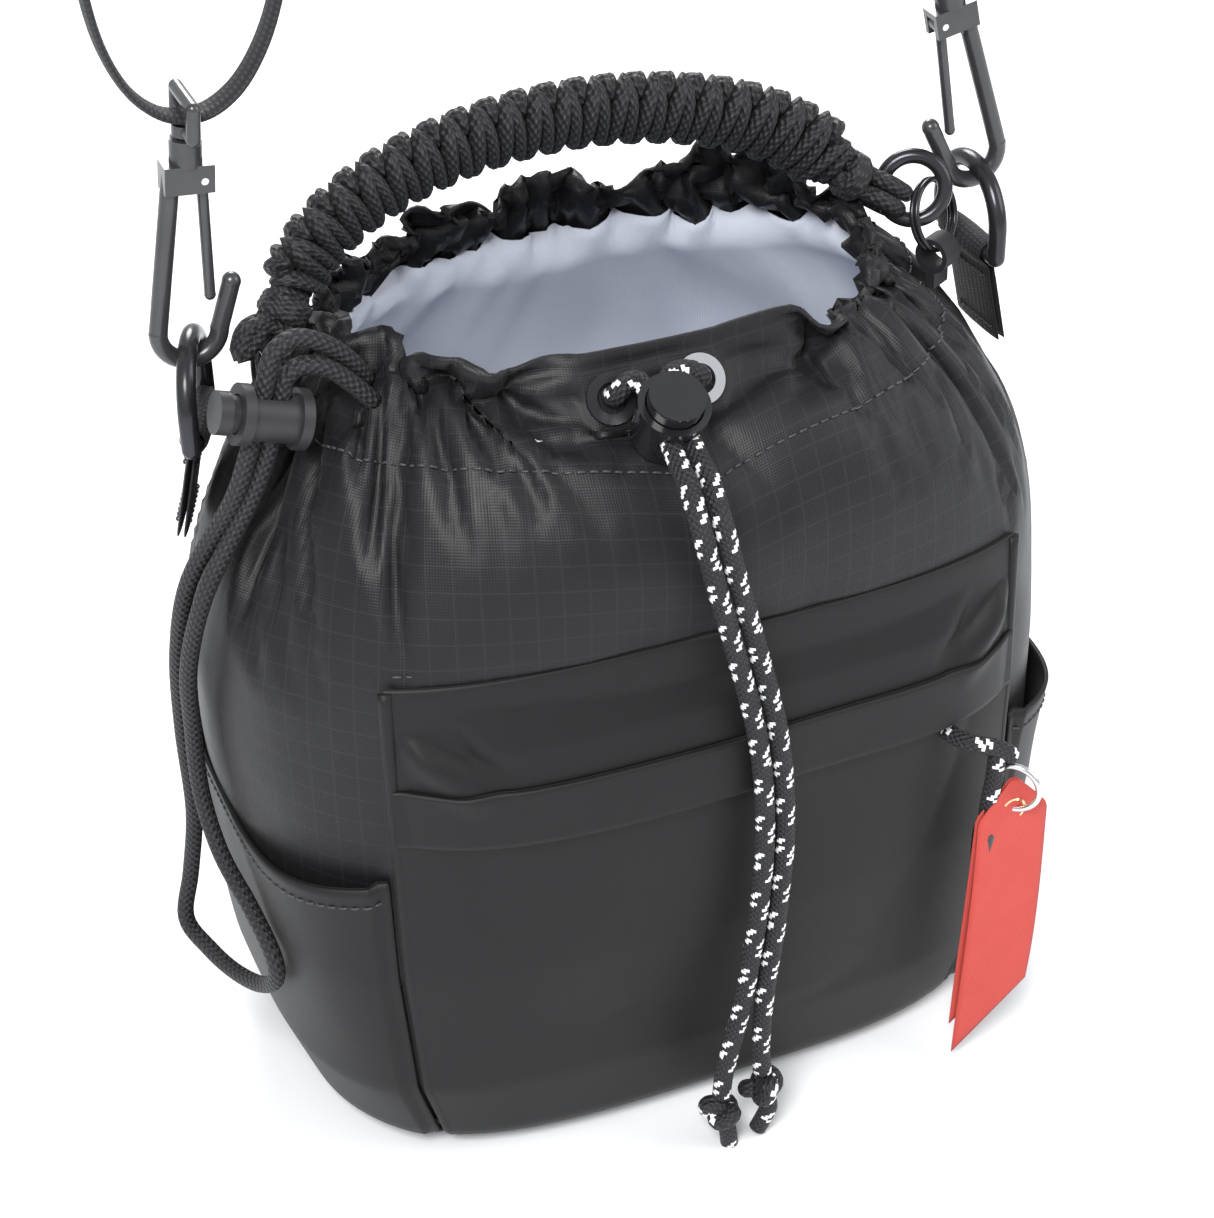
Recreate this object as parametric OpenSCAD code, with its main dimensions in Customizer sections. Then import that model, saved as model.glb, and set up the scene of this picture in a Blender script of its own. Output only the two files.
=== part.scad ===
// Small drawstring rope bag with a braided cord handle, strap hooks and a zip pocket.
// Millimetres. +Z up, -Y is the front, the origin is the middle of the flat base.

/* [Bag] */
// Width of the bag at its widest
body_w = 194; // [170:1:210]
// Depth of the bag, without the front pocket
body_d = 128; // [118:1:140]
// Height of the bag to the rim of its mouth
body_h = 200; // [185:1:215]
// Rise of the rim from front to back, mm per mm of depth
rim_tilt = 0.11; // [0:0.01:0.15]
// Thickness of one sewn fabric wall
wall = 1.5; // [1.2:0.1:2]

/* [Front pocket] */
// Height of the pocket's top seam
pocket_top = 138; // [134:1:141]
// Half the width of the pocket at its side seams
pocket_half_w = 74; // [73:1:75]
// How far the pocket stands out from its side seams
pocket_bulge = 11; // [10:0.5:13]
// Height of the lower, folded edge of the zip flap
flap_low = 99; // [97:1:101]
// Height of the zip flap
flap_h = 15; // [12:1:18]

/* [Cords] */
// Diameter of the drawcord
drawcord_d = 4.4; // [4:0.1:5]
// Diameter of the paracord
paracord_d = 4; // [3.8:0.1:4.2]
// Width of the braided handle
handle_w = 19; // [18:0.5:20]
// Thickness of the braided handle
handle_t = 12; // [10:0.5:12]

/* [Hardware] */
// Width of the webbing that the strap D-rings take
webbing_w = 20; // [19:0.5:20.5]
// Wire diameter of the strap D-rings
dring_wire = 4.2; // [4:0.1:4.4]
// Rod diameter of the snap hooks
hook_rod = 4; // [3.8:0.1:4.2]
// Inward lean of the left snap hook, degrees
hook_lean_left = 5; // [0:1:15]
// Inward lean of the right snap hook, degrees
hook_lean_right = 12; // [0:1:15]
// Width of the shoulder strap
strap_w = 8; // [7:0.5:9]

/* [Hidden] */
$fn = 48;

nylon = [0.05, 0.05, 0.055];
twill = [0.08, 0.08, 0.085];
pale = [0.78, 0.79, 0.84];
gunmetal = [0.12, 0.12, 0.13];
steel = [0.75, 0.75, 0.77];
coral = [0.85, 0.30, 0.27];

half_w = body_w / 2;
half_d = body_d / 2;

// Upright profile of the bag: share of the height, of the half width, of the half depth, corner exponent
PROFILE = [
    [0.00, 0.80, 0.80, 3.6],
    [0.03, 0.88, 0.92, 3.6],
    [0.12, 0.95, 0.97, 3.6],
    [0.30, 0.99, 1.00, 3.6],
    [0.50, 1.00, 1.00, 3.6],
    [0.68, 1.00, 0.98, 3.4],
    [0.77, 0.99, 0.94, 3.1],
    [0.83, 0.92, 0.87, 2.8],
    [0.87, 0.84, 0.79, 2.5],
    [0.90, 0.77, 0.72, 2.4],
    [0.94, 0.67, 0.65, 2.3],
    [0.97, 0.61, 0.60, 2.2],
    [1.00, 0.575, 0.56, 2.2]
];
WIDTHS = [for (p = PROFILE) [p[0], p[1]]];
DEPTHS = [for (p = PROFILE) [p[0], p[2]]];
POWERS = [for (p = PROFILE) [p[0], p[3]]];

function signed_pow(v, e) = sign(v) * pow(abs(v), e);
function unit(v) = v / norm(v);

// Angle around the bag at which the corner seams run
corner_angle = 52;
casing_low = 0.875;

// A point of the bag's skin at angle t, height share v, set in from the outside by inset
function skin(t, v, inset) =
    let (a = half_w * lookup(v, WIDTHS) - inset)
    let (b = half_d * lookup(v, DEPTHS) - inset)
    let (e = 2 / lookup(v, POWERS))
    let (y = b * signed_pow(sin(t), e))
    [a * signed_pow(cos(t), e), y, v * body_h + rim_tilt * y * pow(v, 8)];

// Closed solid between two grids of points, rows of equal length, near is the outer side
module slab(near, far) {
    rows = len(near);
    cols = len(near[0]);
    size = rows * cols;
    points = concat([for (r = near) each r], [for (r = far) each r]);
    outer = [for (i = [0:rows - 2], j = [0:cols - 2])
        each [[i * cols + j, (i + 1) * cols + j, i * cols + j + 1],
            [i * cols + j + 1, (i + 1) * cols + j, (i + 1) * cols + j + 1]]];
    inner = [for (f = outer) [f[2] + size, f[1] + size, f[0] + size]];
    rim = concat(
        [for (j = [0:cols - 1]) j],
        [for (i = [1:rows - 1]) i * cols + cols - 1],
        [for (j = [cols - 2:-1:0]) (rows - 1) * cols + j],
        [for (i = [rows - 2:-1:1]) i * cols]);
    edge = [for (k = [0:len(rim) - 1]) let (p = rim[k], q = rim[(k + 1) % len(rim)])
        each [[p, q, p + size], [q, q + size, p + size]]];
    polyhedron(points, concat(outer, inner, edge));
}

// Piece of the bag's wall between two angles and two height shares
module wall_patch(t0, t1, v0, v1, inset, thick, cols, rows) {
    near = [for (i = [0:rows]) [for (j = [0:cols])
        skin(t0 + (t1 - t0) * j / cols, v0 + (v1 - v0) * i / rows, inset)]];
    far = [for (i = [0:rows]) [for (j = [0:cols])
        skin(t0 + (t1 - t0) * j / cols, v0 + (v1 - v0) * i / rows, inset + thick)]];
    slab(near, far);
}

// A point of the front pocket's face: x as a share of the half width, height z, inset from the outside
pocket_flat = 6;
function pocket_face(s, z, inset) =
    let (v = z / body_h)
    let (seam = -front_y(v, 0))
    let (top = max(0, (z - pocket_top + 14) / 14))
    let (bulge = pocket_bulge * (1 - 0.7 * top * top))
    [s * pocket_half_w * lookup(v, WIDTHS), -(seam + bulge * (1 - pow(abs(s), pocket_flat)) - inset), z];

module pocket_piece(z0, z1, reach, inset, thick, cols, rows) {
    near = [for (i = [0:rows]) [for (j = [0:cols])
        pocket_face(reach * (2 * j / cols - 1), z0 + (z1 - z0) * i / rows, inset)]];
    far = [for (i = [0:rows]) [for (j = [0:cols])
        pocket_face(reach * (2 * j / cols - 1), z0 + (z1 - z0) * i / rows, inset + thick)]];
    slab(near, far);
}

// Ring of section points swept around a path; across and up are the section's two half sizes
function tangent(path, i) = unit(path[min(i + 1, len(path) - 1)] - path[max(i - 1, 0)]);
function ring_at(path, i, across, up, side, sides) =
    let (t = tangent(path, i))
    let (n = unit(cross(t, side)))
    let (b = cross(n, t))
    [for (k = [0:sides - 1]) path[i] + across * cos(360 * k / sides) * b + up * sin(360 * k / sides) * n];
module sweep(path, across, up, side, sides) {
    last = len(path) - 1;
    points = [for (i = [0:last]) each ring_at(path, i, across, up, side, sides)];
    walls = [for (i = [0:last - 1], k = [0:sides - 1]) let (m = (k + 1) % sides)
        each [[i * sides + k, (i + 1) * sides + k, i * sides + m],
            [i * sides + m, (i + 1) * sides + k, (i + 1) * sides + m]]];
    first_cap = [for (k = [0:sides - 1]) k];
    last_cap = [for (k = [sides - 1:-1:0]) last * sides + k];
    polyhedron(points, concat([first_cap], walls, [last_cap]));
}

// Smooth curve through hand-placed points, steps pieces between each two
function between(p, i, u) =
    let (a = p[max(i - 1, 0)], b = p[i], c = p[i + 1], d = p[min(i + 2, len(p) - 1)])
    0.5 * (2 * b + (c - a) * u + (2 * a - 5 * b + 4 * c - d) * u * u + (3 * b - a - 3 * c + d) * u * u * u);
function smooth(p, steps) =
    concat([for (i = [0:len(p) - 2], k = [0:steps - 1]) between(p, i, k / steps)], [p[len(p) - 1]]);

// ---- Bag shell ----
base_t = 3;

module base_panel() {
    color(twill) linear_extrude(base_t)
        polygon([for (t = [0:6:354]) let (p = skin(t, 0, 0)) [p[0], p[1]]]);
}

foot = base_t / body_h;

// Flat front wall behind the pocket: y at height share v, set in from the pocket's side seams
seam_depth = 0.877;
panel_in = 4.2;
panel_reach = 71;
function front_y(v, inset) = -(half_d * lookup(v, DEPTHS) * seam_depth - inset);
function front_point(s, v, inset) = [s * panel_reach * lookup(v, WIDTHS), front_y(v, inset), v * body_h];

module front_panel() {
    levels = [foot + 0.001, 0.03, 0.12, 0.3, 0.5, 0.67];
    color(twill) slab(
        [for (v = levels) [for (s = [-1:0.5:1]) front_point(s, v, panel_in)]],
        [for (v = levels) [for (s = [-1:0.5:1]) front_point(s, v, panel_in + wall)]]);
}

module front_yoke() {
    color(nylon) wall_patch(-180 + corner_angle, -corner_angle, pocket_top / body_h + 0.002, casing_low, 0, wall, 16, 5);
}

module back_panel() {
    color(nylon) wall_patch(corner_angle, 180 - corner_angle, foot + 0.001, casing_low, 0, wall, 14, 10);
}

module side_panel(t0) {
    color(nylon) wall_patch(t0, t0 + 2 * corner_angle, foot + 0.001, casing_low, 0, wall, 12, 10);
}

module side_panel_left() {
    side_panel(180 - corner_angle);
}

module side_panel_right() {
    side_panel(-corner_angle);
}

// Drawstring casing: an outer wall, a folded top and an inner wall with the cord's channel between them
channel = 6;
hem_low = 0.93;
function casing_section(t) = [
    skin(t, casing_low + 0.002, 0),
    skin(t, 0.91, 0),
    skin(t, 0.95, 0),
    skin(t, 0.985, 0),
    skin(t, 1.0, 1.5),
    skin(t, 1.008, 4.5),
    skin(t, 1.0, 7.5),
    skin(t, 0.985, channel + 2 * wall),
    skin(t, hem_low, channel + 2 * wall),
    skin(t, hem_low, channel + wall),
    skin(t, 0.98, channel + wall),
    skin(t, 0.993, 4.5),
    skin(t, 0.98, wall),
    skin(t, 0.95, wall),
    skin(t, 0.91, wall),
    skin(t, casing_low + 0.002, wall)
];

module casing(t0, t1, cols) {
    rings = [for (j = [0:cols]) casing_section(t0 + (t1 - t0) * j / cols)];
    n = len(rings[0]);
    points = [for (r = rings) each r];
    walls = [for (j = [0:cols - 1], k = [0:n - 1]) let (m = (k + 1) % n)
        each [[j * n + k, j * n + m, (j + 1) * n + k], [j * n + m, (j + 1) * n + m, (j + 1) * n + k]]];
    // the end faces are split into strips, because the folded section isn't convex
    strip = [for (k = [0:n / 2 - 2]) each [[k, n - 1 - k, k + 1], [k + 1, n - 1 - k, n - 2 - k]]];
    first_cap = strip;
    last_cap = [for (f = strip) [f[2] + cols * n, f[1] + cols * n, f[0] + cols * n]];
    polyhedron(points, concat(first_cap, walls, last_cap));
}

module casing_front() {
    color(nylon) casing(-179.8, -0.2, 28);
}

module casing_back() {
    color(nylon) casing(0.2, 179.8, 28);
}

lining_gap = 2.4;
module lining() {
    inner = wall + lining_gap;
    levels = [0.022, 0.05, 0.12, 0.3, 0.5, 0.68, 0.77, 0.83, 0.875, 0.9];
    color(pale) difference() {
        ring_solid([for (v = levels) [for (t = [0:9:351]) lining_point(t, v, inner)]]);
        ring_solid([for (v = concat([0.028], [for (i = [1:len(levels) - 2]) levels[i]], [0.91]))
            [for (t = [0:9:351]) lining_point(t, v, inner + 0.8)]]);
    }
}

function lining_point(t, v, inset) =
    let (p = skin(t, v, inset))
    let (wall_y = front_y(v, panel_in + inset))
    [p[0], v < 0.745 ? max(p[1], wall_y) : p[1], p[2]];

// Closed solid through equal rings of points, bottom first
module ring_solid(rings) {
    n = len(rings[0]);
    last = len(rings) - 1;
    points = [for (r = rings) each r];
    walls = [for (i = [0:last - 1], k = [0:n - 1]) let (m = (k + 1) % n)
        each [[i * n + k, (i + 1) * n + k, i * n + m], [i * n + m, (i + 1) * n + k, (i + 1) * n + m]]];
    polyhedron(points, concat([[for (k = [0:n - 1]) k]], walls, [[for (k = [n - 1:-1:0]) last * n + k]]));
}

// ---- Front pocket ----
pocket_reach = 0.96;

module pocket_upper() {
    color(twill) pocket_piece(flap_low + flap_h - 4, pocket_top, pocket_reach, 2, wall, 16, 6);
}

module pocket_flap() {
    color(twill) pocket_piece(flap_low, flap_low + flap_h, pocket_reach, 0, wall - 0.1, 16, 2);
}

module pocket_lower() {
    color(twill) pocket_piece(base_t + 0.2, flap_low - 6, pocket_reach, 1, wall, 16, 8);
}

// ---- Slip pockets on the sides ----
module side_pocket(t0) {
    color(twill) wall_patch(t0, t0 + 2 * corner_angle - 4, foot + 0.002, 0.37, -wall - 0.8, wall, 12, 10);
}

module side_pocket_left() {
    side_pocket(182 - corner_angle);
}

module side_pocket_right() {
    side_pocket(2 - corner_angle);
}

// ---- Zip, slider, cord pull, split ring and ribbon tag ----
zip_y = -59.5;
zip_z = flap_low;
zip_reach = 60;
slider_x = 55;
ring_pos = [69, -72.5, 80];
ring_r = 6;
ring_wire = 1.6;
tag_hole_z = ring_pos[2] - ring_r;
tag_t = 1.2;
tag_l = 72;

module zip_tape() {
    color(gunmetal) translate([-zip_reach - 6, zip_y + 0.2, zip_z - 5]) cube([2 * zip_reach + 12, 0.8, 14]);
}

module zip_slider() {
    color(gunmetal) translate([slider_x, zip_y, zip_z]) {
        translate([-5, -2, -4]) cube([10, 1.8, 8]);
        translate([-1, -3.2, -3.9]) cube([2, 1.4, 6]);
    }
}

PULL_PATH = [[55, -63.2, 95], [56, -66.5, 94.5], [58.5, -70, 94], [64, -72, 92.5], [68, -72.5, 89.5]];

module zip_pull_cord() {
    color(nylon) sweep(smooth(PULL_PATH, 3), 1.3, 1.3, [0, 1, 0.2], 8);
}

module torus(r, wire_d) {
    rotate_extrude() translate([r, 0]) circle(d = wire_d);
}

module pull_ring() {
    color(steel) translate(ring_pos) rotate([0, 0, -45]) rotate([90, 0, 0]) torus(ring_r, ring_wire);
}

module tag() {
    color(coral) translate([ring_pos[0], ring_pos[1] + tag_t / 2, tag_hole_z]) rotate([90, 0, 0])
        linear_extrude(tag_t) difference() {
            polygon([[0, 9], [5.5, 2], [9, -tag_l + 20], [8, -tag_l + 10], [-8, -tag_l], [-9, -tag_l + 8], [-4, 2]]);
            circle(r = 3.2);
        }
}

module tag_eyelet() {
    color("goldenrod") translate([ring_pos[0], ring_pos[1], tag_hole_z]) rotate([90, 0, 0]) difference() {
        cylinder(h = tag_t + 0.4, r = 3.2, center = true);
        cylinder(h = 4, r = 2.6, center = true);
    }
}

// ---- Eyelets of the drawstring casing ----
eyelet_x = [-17, 3];
eyelet_z = 187;
eyelet_y = -42.5;
eyelet_tilt = 34;

module eyelet(x) {
    translate([x, eyelet_y, eyelet_z]) rotate([90 - eyelet_tilt, 0, 0]) {
        translate([0, 0, 0.2]) difference() {
            cylinder(h = 1, r = 5.5);
            translate([0, 0, -1]) cylinder(h = 3, r = 3.3);
        }
    }
}

module eyelet_left() {
    color(gunmetal) eyelet(eyelet_x[0]);
}

module eyelet_right() {
    color(steel) eyelet(eyelet_x[1]);
}

// ---- D-rings and their webbing tabs ----
module rod(p, q, r) {
    d = q - p;
    translate(p) rotate([0, acos(d[2] / norm(d)), atan2(d[1], d[0])]) cylinder(h = norm(d), r = r);
}

// Bar along Y through the origin, legs up, half round top
module d_ring(span, leg, wire) {
    r = span / 2;
    rod([0, -r, 0], [0, r, 0], wire / 2);
    for (s = [-1, 1]) {
        translate([0, s * r, 0]) sphere(d = wire);
        rod([0, s * r, 0], [0, s * r, leg], wire / 2);
    }
    translate([0, 0, leg]) rotate([90, 0, 90]) rotate_extrude(angle = 180) translate([r, 0]) circle(d = wire);
}

// Webbing folded round a bar along Y, its two layers sewn together below
module webbing_tab(wire, width, drop) {
    inner = wire / 2 + 0.35;
    outer = inner + 1.3;
    rotate([90, 0, 0]) linear_extrude(width, center = true) difference() {
        union() {
            circle(r = outer);
            translate([-1.4, -drop]) square([2.8, drop]);
        }
        circle(r = inner);
    }
}

strap_ring_pos = [93, 4, 176];
right_ring_lift = 5;
strap_span = webbing_w + 6;
strap_leg = 6;
strap_top = strap_leg + strap_span / 2;
function ring_place(s) = [s * strap_ring_pos[0], strap_ring_pos[1], strap_ring_pos[2] + (s > 0 ? right_ring_lift : 0)];
tab_splay = 12;
left_ring_yaw = 22;

// The left ring stands turned a little about the upright
module at_strap_ring(s) {
    translate(ring_place(s))
        rotate([0, 0, s < 0 ? -left_ring_yaw : 0]) children();
}

module strap_tab(s) {
    color(nylon) at_strap_ring(s) rotate([0, -s * tab_splay, 0]) webbing_tab(dring_wire, webbing_w, 24);
}

module strap_dring(s) {
    color(gunmetal) at_strap_ring(s) d_ring(strap_span, strap_leg, dring_wire);
}

module strap_tab_left() {
    strap_tab(-1);
}

module strap_tab_right() {
    strap_tab(1);
}

module strap_dring_left() {
    strap_dring(-1);
}

module strap_dring_right() {
    strap_dring(1);
}

// ---- Snap hooks. Local frame: the D-ring's wire at the origin, the nose towards +X ----
module at_hook(s) {
    translate(ring_place(s) + [0, 0, strap_top])
        rotate([0, -s * (s < 0 ? hook_lean_left : hook_lean_right), 0]) scale_side(s) children();
}

// The right hook is the left one mirrored
module scale_side(s) {
    if (s < 0) children();
    else mirror([1, 0, 0]) children();
}

bow_r = 6.6;
bow_z = 2.2;
nose_tip = [9.2, 0, 12.5];
gate_pivot = [3.2, 0, 36.5];
gate_end = [4.6, 0, 10];
hook_top = 40;
gate_hole = 0.8;

module hook_frame() {
    r = hook_rod / 2;
    knuckle = r + 0.06;
    difference() {
        union() {
            translate([0, 0, bow_z]) rotate([-90, 0, 0]) rotate_extrude(angle = 180) translate([bow_r, 0]) circle(r = r);
            rod([-bow_r, 0, bow_z], [-3, 0, hook_top - 1], r);
            translate([-bow_r, 0, bow_z]) sphere(r = knuckle);
            rod([bow_r, 0, bow_z], nose_tip, r);
            translate([bow_r, 0, bow_z]) sphere(r = knuckle);
            translate(nose_tip) sphere(r = knuckle);
            translate([-5.1, -3, hook_top - 6]) cube([10.4, 6, 6]);
            translate([0, 0, hook_top - 0.5]) cylinder(h = 5.7, r = 3.4);
        }
        translate([-1.8, -1.7, hook_top - 8]) cube([12, 3.4, 6.5]);
        translate(gate_pivot) rotate([90, 0, 0]) cylinder(h = 20, r = gate_hole, center = true);
        translate([0, 0, hook_top + 0.6]) cylinder(h = 8, r = 1.9);
    }
}

module gate_bar() {
    difference() {
        union() {
            translate(gate_pivot) rotate([90, 0, 0]) cylinder(h = 2.8, r = 2, center = true);
            rod(gate_pivot, gate_end, 1.2);
            translate(gate_end) sphere(r = 1.25);
        }
        translate(gate_pivot) rotate([90, 0, 0]) cylinder(h = 20, r = gate_hole + 0.05, center = true);
    }
}

module gate_pin() {
    translate(gate_pivot) rotate([90, 0, 0]) cylinder(h = 5.8, r = gate_hole, center = true);
}

eye_z = hook_top + 7.1;
eye_w = 13;
eye_h = 6.5;
eye_rod = 3;

// Swivel eye: a stem in the hook's collar under a four-sided eye; turn is its angle about the stem
module swivel_eye(turn) {
    r = eye_rod / 2;
    translate([0, 0, hook_top + 0.8]) cylinder(h = 6.3, r = 1.6);
    translate([0, 0, eye_z]) rotate([0, 0, turn]) {
        corners = [[-eye_w / 2, 0, 0], [eye_w / 2, 0, 0], [eye_w / 2, 0, eye_h], [-eye_w / 2, 0, eye_h]];
        for (i = [0:3]) {
            rod(corners[i], corners[(i + 1) % 4], r);
            translate(corners[i]) sphere(r = r);
        }
        cylinder(h = 2.4, r = 2.8, center = true);
    }
}

module snap_hook_left() {
    color(gunmetal) at_hook(-1) hook_frame();
}

module snap_hook_right() {
    color(gunmetal) at_hook(1) hook_frame();
}

module gate_left() {
    color(gunmetal) at_hook(-1) gate_bar();
}

module gate_right() {
    color(gunmetal) at_hook(1) gate_bar();
}

module gate_pin_left() {
    color(steel) at_hook(-1) gate_pin();
}

module gate_pin_right() {
    color(steel) at_hook(1) gate_pin();
}

module strap_eye_left() {
    color(gunmetal) at_hook(-1) swivel_eye(90);
}

module strap_eye_right() {
    color(gunmetal) at_hook(1) swivel_eye(0);
}

// ---- Shoulder strap ends: a loop through each eye, closed by a slider ----
strap_t = 2;
LOOP_HALF = [[0, 0, 0], [6, 0, 1.5], [12, 0, 7], [17, 0, 17], [20, 0, 30], [20.5, 0, 42], [17, 0, 54],
    [9, 0, 64], [2.8, 0, 71], [1.6, 0, 82]];
loop_z = eye_z + eye_rod / 2 + strap_t / 2 + 0.2;
slider_z = loop_z + 70;

module strap_loop(turn) {
    path = concat([for (i = [len(LOOP_HALF) - 1:-1:1]) [-LOOP_HALF[i][0], 0, LOOP_HALF[i][2]]], LOOP_HALF);
    translate([0, 0, loop_z]) rotate([0, 0, turn])
        sweep(smooth(path, 2), strap_w / 2, strap_t / 2, [0, 1, 0], 10);
}

module strap_slider(turn) {
    translate([0, 0, slider_z]) rotate([0, 0, turn]) difference() {
        translate([-6.6, -strap_w / 2 - 2.5, 0]) cube([13.2, strap_w + 5, 7]);
        translate([-4.9, -strap_w / 2 - 0.4, -1]) cube([9.8, strap_w + 0.8, 9]);
    }
}

module strap_left() {
    color(nylon) at_hook(-1) strap_loop(0);
}

module strap_right() {
    color(nylon) at_hook(1) strap_loop(90);
}

module strap_slider_left() {
    color(gunmetal) at_hook(-1) strap_slider(0);
}

module strap_slider_right() {
    color(gunmetal) at_hook(1) strap_slider(90);
}

// ---- Braided handle and the rings that hold it. It swings about X through swing_pos ----
swing_pos = [0, -2, 183];
handle_lean = 20;
arch_x = -5;
arch_half = 67;
arch_low = 12;
arch_rise = 33;
arch_from = 10;
eye_r = 4.8;
loop_cord = 4;
ring_small_r = 9.5;
dring_small_wire = 3.5;
left_eye = [-78, 0, ring_small_r];
oring_r = 7.25;
oring_wire = 3.5;
right_eye = [69, 0, 15];

module leaning() {
    translate(swing_pos) rotate([-handle_lean, 0, 0]) children();
}

ARCH = [for (k = [0:34]) let (a = 180 - arch_from - k * (180 - 2 * arch_from) / 36)
    [arch_x + arch_half * cos(a), 0, arch_low + arch_rise * sin(a)]];

module handle() {
    last = len(ARCH) - 1;
    color(nylon) leaning() {
        sweep(ARCH, handle_w / 2, handle_t / 2, [0, 1, 0], 12);
        translate(left_eye) rotate([90, 0, 0]) torus(eye_r, loop_cord);
        rod(left_eye + [3, 0, 3.6], ARCH[0] + [1, 0, 1.5], 2.6);
        translate(right_eye) torus(eye_r, loop_cord);
        rod(right_eye + [-4.6, 0, 1], ARCH[last] + [-0.5, 0, 2.2], 2.2);
    }
}

module handle_dring() {
    color(gunmetal) translate([left_eye[0], swing_pos[1], swing_pos[2] - 3])
        d_ring(2 * ring_small_r, 3, dring_small_wire);
}

module handle_tab_left() {
    color(nylon) translate([left_eye[0], swing_pos[1], swing_pos[2] - 3]) rotate([0, 10, 0])
        webbing_tab(dring_small_wire, 12, 8);
}

oring_turn = -25;
split_turn = 30;
split_r = 8;
split_pos = [80.5, -2, 8];

module handle_oring() {
    color(gunmetal) leaning() translate(right_eye) rotate([0, 0, oring_turn]) translate([oring_r, 0, 0])
        rotate([90, 0, 0]) torus(oring_r, oring_wire);
}

module split_ring() {
    color(gunmetal) leaning() translate(split_pos) rotate([0, 0, split_turn]) rotate([90, 0, 0])
        rotate_extrude() for (s = [-1, 1]) translate([split_r, s * 0.62]) circle(d = 1.3);
}

module handle_tab_right() {
    tab_in = 3;
    color(nylon) translate([split_pos[0], swing_pos[1] + split_pos[1], swing_pos[2]])
        rotate([0, 0, split_turn]) rotate([0, 90, 0]) linear_extrude(6, center = true) difference() {
            union() {
                circle(r = tab_in + 1.2);
                translate([0, -1.2]) square([8, 2.4]);
            }
            circle(r = tab_in);
        }
}

// ---- Drawcord, its knots and its cord lock ----
lock_pos = [-8.5, -53.7, 186.6];
lock_tilt = 30;
lock_r = 7.2;
lock_low = -6.9;
lock_high = 5;
lock_gap = 0.25;
button_r = 6;
button_top = 8.2;
lock_cord_x = 2.3;
lock_travel = 1.4;

CHANNEL = [for (k = [0:44]) let (t = -90 + 14 + k * (360 - 28) / 44) skin(t, 0.955, 4.1)];
TAIL_LEFT = [[-17, -43.5, 188], [-16.4, -45.2, 189.8], [-14.4, -45.2, 191.6], [-12, -45.4, 191.6],
    [-10.9, -47.8, 190], [-10.8, -50.4, 188.5], [-10.8, -53, 187], [-10.8, -58.2, 184], [-10.8, -63, 181.2],
    [-10.6, -68, 178.2], [-10.3, -72.5, 172], [-7.5, -74.2, 158], [-3, -74.5, 140], [2.5, -75, 115], [4.5, -75, 90],
    [3, -75, 65], [-1, -75.5, 40], [-5, -76, 24], [-6, -76, 15]];
TAIL_RIGHT = [[3, -43.5, 188], [2, -45.2, 189.8], [-1, -45.2, 191.6], [-4.6, -45.4, 191.6],
    [-6.1, -47.8, 190], [-6.2, -50.4, 188.5], [-6.2, -53, 187], [-6.2, -58.2, 184], [-6.1, -63, 181.2],
    [-5.8, -68, 178.2], [-5.4, -72.5, 172], [-2.6, -74.2, 158], [1.9, -74.5, 140], [7.4, -75, 115], [9.4, -75, 90],
    [8, -75, 65], [5, -75.5, 42], [4, -76, 27], [4.5, -76, 19]];
knot_r = 5;

module drawcord_channel() {
    color(nylon) sweep(CHANNEL, drawcord_d / 2, drawcord_d / 2, [0, 0, 1], 8);
}

module drawcord_tail_left() {
    color(nylon) sweep(smooth(TAIL_LEFT, 3), drawcord_d / 2, drawcord_d / 2, [1, 0, 0.3], 8);
}

module drawcord_tail_right() {
    color(nylon) sweep(smooth(TAIL_RIGHT, 3), drawcord_d / 2, drawcord_d / 2, [1, 0, 0.3], 8);
}

// Overhand knot with its short end below
module knot(p) {
    translate(p - [0, 0, knot_r]) {
        sphere(r = knot_r, $fn = 12);
        translate([0, 0, -8]) cylinder(h = 8, d = drawcord_d, $fn = 12);
    }
}

module drawcord_knot_left() {
    color(nylon) knot(TAIL_LEFT[18] + [-1.5, 0, 0]);
}

module drawcord_knot_right() {
    color(nylon) knot(TAIL_RIGHT[18] + [1.5, 0, 0]);
}

module at_lock() {
    translate(lock_pos) rotate([lock_tilt, 0, 0]) children();
}

// Slot for the two cords, across the lock
module cord_slot(z) {
    slot_r = drawcord_d / 2 + 0.25;
    translate([0, 0, z]) rotate([90, 0, 0]) linear_extrude(40, center = true) {
        for (s = [-1, 1]) translate([s * lock_cord_x, 0]) circle(r = slot_r);
        square([2 * lock_cord_x, 2 * slot_r], center = true);
    }
}

module cord_lock_barrel() {
    color(gunmetal) at_lock() difference() {
        union() {
            translate([0, 0, lock_low]) cylinder(h = lock_high - lock_low, r = lock_r);
            translate([0, 0, lock_high - 2]) cylinder(h = 2, r = lock_r + 0.5);
        }
        translate([0, 0, lock_low + 1]) cylinder(h = 20, r = button_r + lock_gap);
        cord_slot(0);
    }
}

module cord_lock_button() {
    low = -4;
    color(gunmetal) at_lock() difference() {
        translate([0, 0, low]) cylinder(h = button_top - low, r = button_r);
        cord_slot(0);
        cord_slot(lock_travel);
    }
}

module cord_lock_spring() {
    color(steel) at_lock() translate([0, 0, lock_low + 1.1]) difference() {
        cylinder(h = 1.7, r = 4.2);
        translate([0, 0, -1]) cylinder(h = 4, r = 3.2);
    }
}

// ---- Side cord lock and its paracord loop ----
side_lock_pos = [-84, -20, 187];
side_lock_pitch = -72;
spool_r = 6.5;
spool_low = -8.2;
spool_high = 6.8;
spool_cord_z = 2.05;
plunger_r = 3.9;
plunger_travel = 1.6;

module at_side_lock() {
    translate(side_lock_pos) rotate([0, side_lock_pitch, 0]) children();
}

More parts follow.
